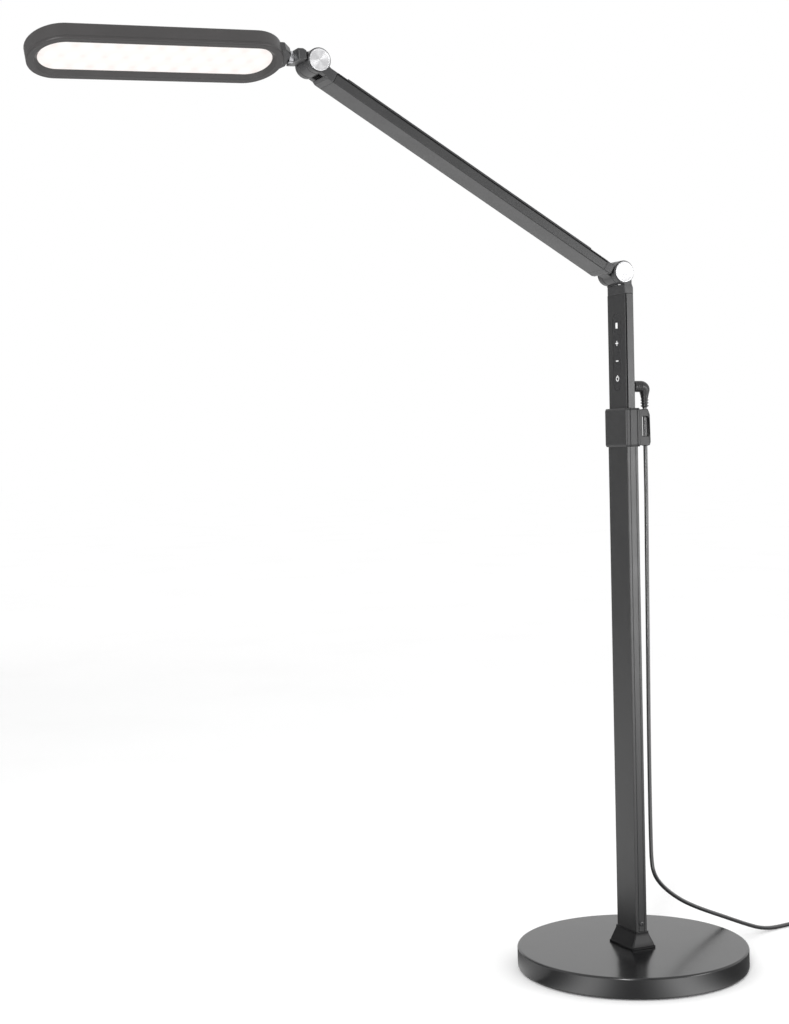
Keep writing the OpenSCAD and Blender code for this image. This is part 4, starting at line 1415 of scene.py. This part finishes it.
@dataclass
class Plug:
    """Right-angle barrel plug with its ribbed strain relief, on the back of the mast."""

    start_x: float = 8.2
    turn_x: float = 26.0
    low_z: float = 567.2
    relief_z: float = 558.2
    radius: float = 5.6
    nose_r: float = 4.7
    nose_length: float = 4.2
    bend: float = 4.2
    taper: float = 1.9
    taper_from: float = 0.62
    grip_span: tuple[float, float] = (7.0, 13.0)
    grip_pitch: float = 1.6
    grip_depth: float = 0.28
    sleeve_r: tuple[float, float] = (2.7, 3.3)
    tip_x: float = 2.3
    tip_r: float = 2.75
    tip_length: float = 7.5
    ring_r: float = 3.9
    ring_z: float = 1.0
    ring_pitch: float = 2.9
    ring_thick: float = 1.3

    def build(self, jack_z: float) -> list[bpy.types.Object]:
        """Makes the plug's three pieces.

        The body's radius widens past its nose, is cut by the grip's grooves and tapers over the
        last share of its length.

        Args:
            jack_z: height of the socket's axis.

        Returns:
            The pieces.
        """
        bend = self.bend
        level = np.linspace([self.start_x, 0, jack_z], [self.turn_x - bend, 0, jack_z], 40, endpoint=False)
        angle = np.linspace(0, np.pi / 2, 16)
        arc_x, arc_z = self.turn_x - bend + bend * np.sin(angle), jack_z - bend + bend * np.cos(angle)
        arc = np.stack([arc_x, 0 * angle, arc_z], 1)
        fall = np.linspace([self.turn_x, 0, jack_z - bend - 0.3], [self.turn_x, 0, self.low_z], 16)
        path = np.concatenate([level, arc, fall])
        way = np.concatenate([[0], np.cumsum(np.linalg.norm(np.diff(path, axis=0), axis=1))])
        share = way / way[-1]
        radius = self.nose_r + (self.radius - self.nose_r) * ease((way - self.nose_length) / 0.8)
        radius -= self.taper * ease((share - self.taper_from) / (1 - self.taper_from))
        first, last = self.grip_span
        half = self.grip_pitch / 2
        groove = np.abs((way - first - 1.0) % self.grip_pitch - half) < 0.3
        radius -= self.grip_depth * groove * (way > first) * (way < last)
        radius *= 1 - 0.12 * ease(1 - way / 0.6) - 0.1 * ease((way - way[-1] + 0.5) / 0.5)
        body = add_piece("plug_body", [tube(path, radius, 40)], ROW, SOCKET, Body.MAST, ["dc_plug"], sharp=50)
        span_z = self.low_z - self.relief_z
        thin, thick = self.sleeve_r
        corners = [(0, 0, 0), (thin, 0, 0.2)]
        for k in range(3):
            z = self.ring_z + self.ring_pitch * k
            slim = thin + (thick - thin) * z / span_z
            top = z + self.ring_thick
            corners += [(slim, z, 0.15), (self.ring_r, z, 0.3), (self.ring_r, top, 0.3), (slim, top, 0.15)]
        corners += [(thick, span_z + 0.3, 0), (0, span_z + 0.3, 0)]
        ribbed = lathe(Outline(tuple(corners), 4), 48)
        at = ROW.moved(self.turn_x, 0, self.relief_z)
        relief = add_piece("plug_strain_relief", [ribbed], at, SOCKET, Body.MAST, ["plug_relief"])
        r, reach = self.tip_r, self.tip_length
        tip = Outline(((0, 0, 0), (r, 0, 0.3), (r, reach, 0), (0, reach, 0)), 4)
        tip_at = ROW.moved(self.tip_x, 0, jack_z).turned((0, 1, 0), (0, 0, 1), (1, 0, 0))
        barrel = add_piece("plug_barrel", [lathe(tip, 32)], tip_at, NICKEL, Body.MAST)
        return [body, relief, barrel]


@dataclass
class Mast:
    """Sliding mast: channel and strip with the touch keys, the socket land and the elbow ears."""

    key_z: float = 613.2
    key_size: tuple[float, float] = (75.6, 14.6)
    key_deep: float = 0.185
    land: tuple[float, float, float] = (26.0, 14.0, 3.0)

    def build(self, hinge: Hinge, profile: Profile) -> list[bpy.types.Object]:
        """Makes the mast's pieces.

        Args:
            hinge: the barrel hinge's sizes.
            profile: the section's sizes.

        Returns:
            The plug's pieces, which go with the lead.
        """
        elbow = np.array(joint("elbow_tilt")["pos_m"], float)
        reach = Reach(elbow, np.array([0, 0, -1.0]), np.array([1.0, 0, 0]))
        bottom = elbow[2] / MM - span("mast_channel")[0][2]
        channel = prism(profile.channel(), hinge.block, bottom)
        add_piece("mast_extrusion", [channel], reach.along(), EXTRUSION, Body.MAST, ["mast_channel"])
        add_piece("mast_ears", hinge.outer(hinge.block), reach.side(), CAST, Body.MAST, ["mast_knuckle"])
        dress(STRIP, "control_strip")
        dress(ICON, "touch_icons")
        dress(BOARD, "touch_board")
        dress(NYLON, "slide_shoe")
        dress(SOCKET, "dc_jack")
        up_and_back = (0, 0, 1), (0, -1, 0), (1, 0, 0)
        face = span("control_strip")[0][0] + self.key_deep
        front = ROW.moved(face, 0, self.key_z).turned(*up_and_back)
        window = prism(stadium(*self.key_size), -0.03, 0.015)
        add_piece("key_window", [window], front, KEY_GLASS, Body.MAST)
        jack_low, jack_high = span("jack_housing")
        jack_z = (jack_low[2] + jack_high[2]) / 2
        length, width, tall = self.land
        at = ROW.moved(jack_low[0], 0, jack_z).turned(*up_and_back)
        oval = Outline(((0, 0, 0), (0, tall, 0.9), (2.6, tall, 0.5), (3.0, tall - 0.5, 0.3),
                        (width / 2 - 0.02, tall - 0.5, 0), (width / 2 - 0.02, 0, 0)), 5)
        add_piece("socket_land", [walled(stadium(length, width), oval)], at, ABS, Body.MAST, ["jack_housing"])
        return Plug().build(jack_z)


@dataclass
class Arm:
    """Arm between elbow and head hinge: channel, strip and an end piece at each hinge."""

    def build(self, hinge: Hinge, profile: Profile) -> None:
        """Makes the arm's pieces and both hinges' caps.

        Args:
            hinge: the barrel hinge's sizes.
            profile: the section's sizes.
        """
        elbow = np.array(joint("elbow_tilt")["pos_m"], float)
        head = np.array(joint("head_tilt")["pos_m"], float)
        out = unit(head - elbow)
        above = np.cross([0, 1.0, 0], -out)
        length = float(np.linalg.norm(head - elbow)) / MM
        near, far = Reach(elbow, out, above), Reach(head, -out, above)
        run = (hinge.block, length - hinge.block)
        channel, cover = [prism(profile.channel(), *run)], [prism(profile.cover(), *run)]
        elbow_end, head_end = hinge.middle(hinge.block), hinge.outer(hinge.block)
        add_piece("arm_extrusion", channel, near.along(), ARM_EXTRUSION, Body.ARM, ["arm_channel"])
        add_piece("arm_cover_strip", cover, near.along(), STRIP, Body.ARM, ["arm_strip"])
        add_piece("arm_elbow_end", elbow_end, near.side(), CAST, Body.ARM, ["arm_elbow_knuckle"])
        add_piece("arm_head_end", head_end, far.side(), CAST, Body.ARM, ["arm_head_knuckle"])
        hinge.add_caps(Place(elbow, np.eye(3)), "elbow", Body.MAST)
        hinge.add_caps(Place(head, np.eye(3)), "head", Body.ARM)
        dress(STEEL, "elbow_axle", "head_axle")
        dress(NATURAL, "elbow_washers", "head_washers")
        dress(INNER_LEAD, "arm_lead")


# ---------- neck and head ----------


@dataclass
class Head:
    """Neck, bracket and the long flat LED head. Heights are from the roll axis."""

    length: float = 232.0
    width: float = 61.4
    centre: float = -147.2
    face: float = -9.2
    top: float = 6.6
    seam: float = -6.25
    wall: float = 2.0
    rim: float = 6.2
    ledge: float = 3.6
    panel_depth: float = 3.4
    neck_end: float = 20.0
    bracket_half: float = 4.0
    bracket_neck: tuple[float, float] = (-24.4, 9.0)
    bracket_shoulder: tuple[float, float] = (-32.0, 17.0)
    tongue: tuple[float, float] = (16.5, 32.0)
    tongue_lift: float = 11.4

    def frames(self) -> tuple[Place, Place]:
        """Works out the neck's and the head's places from the joints.

        The roll axis gives the head's own x; the stored roll is the middle of the roll joint's
        range, the other way.

        Returns:
            The neck's place at the tilt hinge and the head's place on the roll axis.
        """
        tilt, roll = joint("head_tilt"), joint("head_roll")
        x = -np.array(roll["axis"], float)
        neck = np.stack([x, [0, 1, 0], np.cross(x, [0, 1, 0])])
        turn = math.radians(sum(roll["range_deg"]) / 2)
        c, s = math.cos(turn), math.sin(turn)
        place = Place(np.array(roll["pos_m"], float), neck)
        return Place(np.array(tilt["pos_m"], float), neck), place.turned((1, 0, 0), (0, c, s), (0, -s, c))

    def add_neck(self, at: Place, hinge: Hinge) -> None:
        """Makes the neck between the tilt hinge and the roll shaft.

        Args:
            at: the neck's place.
            hinge: the barrel hinge's sizes.
        """
        reach = Reach(at.origin, -at.axes[0], at.axes[2])
        knuckle = hinge.knuckle()
        skins = [knuckle, hinge.end_block(self.neck_end, 1.8, 1.3)]
        add_piece("neck_block", skins, reach.side(), CAST, Body.NECK, ["neck"])
        dress(STEEL, "roll_shaft", "roll_nut")

    def add_bracket(self, at: Place) -> None:
        """Makes the flat bar that carries the head, with chamfered corners.

        Args:
            at: the head's place.
        """
        end = self.centre + self.length / 2
        (neck, slim), (shoulder, side) = self.bracket_neck, self.bracket_shoulder
        plan = Outline(
            ((end - 8, -side, 0), (shoulder, -side, 0.8), (neck, -slim, 0.8), (neck, slim, 0.8),
             (shoulder, side, 0.8), (end - 8, side, 0)), 5)
        bar = prism(plan, -self.bracket_half, self.bracket_half, 0.7)
        tongue = prism(box(*self.tongue, 0.6), self.face + self.tongue_lift, self.top - self.wall - 0.1)
        tongue.points[:, 0] += end - 9.5
        add_piece("head_arm_bracket", [bar, tongue], at, CAST, Body.HEAD, ["head_bracket"])

    def add_shell(self, at: Place) -> None:
        """Moulds the housing and the rim that closes it.

        Args:
            at: the head's place.
        """
        middle = at.moved(self.centre, 0, 0)
        shape = stadium(self.length, self.width, 40)
        core = self.width / 2 - 0.02
        top, w = self.top, self.wall
        shell = Outline(
            ((0, self.seam, 0.12), (w, self.seam, 0), (w, top - w, 0.6), (core, top - w, 0), (core, top, 0),
             (0, top, 2.0)), 8)
        add_piece("head_shell", [walled(shape, shell)], middle, SHELL, Body.HEAD, ["head_housing"])
        f, r = self.face, self.rim
        rim = Outline(
            ((0, self.seam - 0.1, 0.12), (0, f, 1.5), (r, f, 0.6), (r + self.ledge, f + 3.3, 0.3),
             (r + self.ledge, f + 5.6, 0), (2.3, f + 5.6, 0), (2.3, self.seam - 0.1, 0)), 8)
        rim = Outline(tuple(reversed(rim.corners)), rim.steps)
        add_piece("head_rim", [walled(shape, rim)], middle, RIM, Body.HEAD, ["head_bezel"])

    def add_panel(self, at: Place) -> None:
        """Makes the frosted light panel, with its place on the panel in millimetres as UV.

        Args:
            at: the head's place.
        """
        middle = at.moved(self.centre, 0, 0)
        edge = 2 * (self.rim + self.ledge) + 0.1
        window = stadium(self.length - edge, self.width - edge, 40)
        flange = stadium(self.length - 2 * self.rim + 5.2, self.width - 2 * self.rim + 5.2, 40)
        low, step, high = self.face + self.panel_depth, self.face + 5.75, self.face + 7.2
        rings = [window.ring(low, 0.6), window.ring(low + 0.15, 0.2), window.ring(low + 0.6)]
        rings += [window.ring(step)]
        rings += [flange.ring(step), flange.ring(high)]
        skin = loft(np.stack(rings))
        skin.quad_uv = skin.points[skin.quads][..., :2]
        panel = add_piece("light_diffuser", [skin], middle, PANEL, Body.HEAD, ["light_panel"])
        corners = np.array([panel.data.vertices[k.vertex_index].co for k in panel.data.loops])
        flat = (corners - middle.origin) @ middle.axes.T / MM
        panel.data.uv_layers["Skin"].data.foreach_set("uv", flat[:, :2].astype(np.float32).ravel())

    def build(self, hinge: Hinge) -> None:
        """Makes the neck and head, and dresses the parts inside.

        Args:
            hinge: the barrel hinge's sizes.
        """
        neck, head = self.frames()
        self.add_neck(neck, hinge)
        self.add_bracket(head)
        self.add_shell(head)
        self.add_panel(head)
        dress(HEAT, "heat_plate")
        dress(LED_BOARD, "led_board")
        dress(PHOSPHOR, "led_chips")
        dress(STEEL, "head_screws")


def main() -> None:
    """Builds the studio and the lamp, piece by piece."""
    logging.basicConfig(level=logging.INFO, format="%(name)s %(message)s")
    Studio().build()
    hinge, profile = Hinge(), Profile()
    plug = Mast().build(hinge, profile)
    Lead().build(plug)
    Foot().build()
    Post().build()
    Arm().build(hinge, profile)
    Head().build(hinge)


if __name__ == "__main__":
    main()
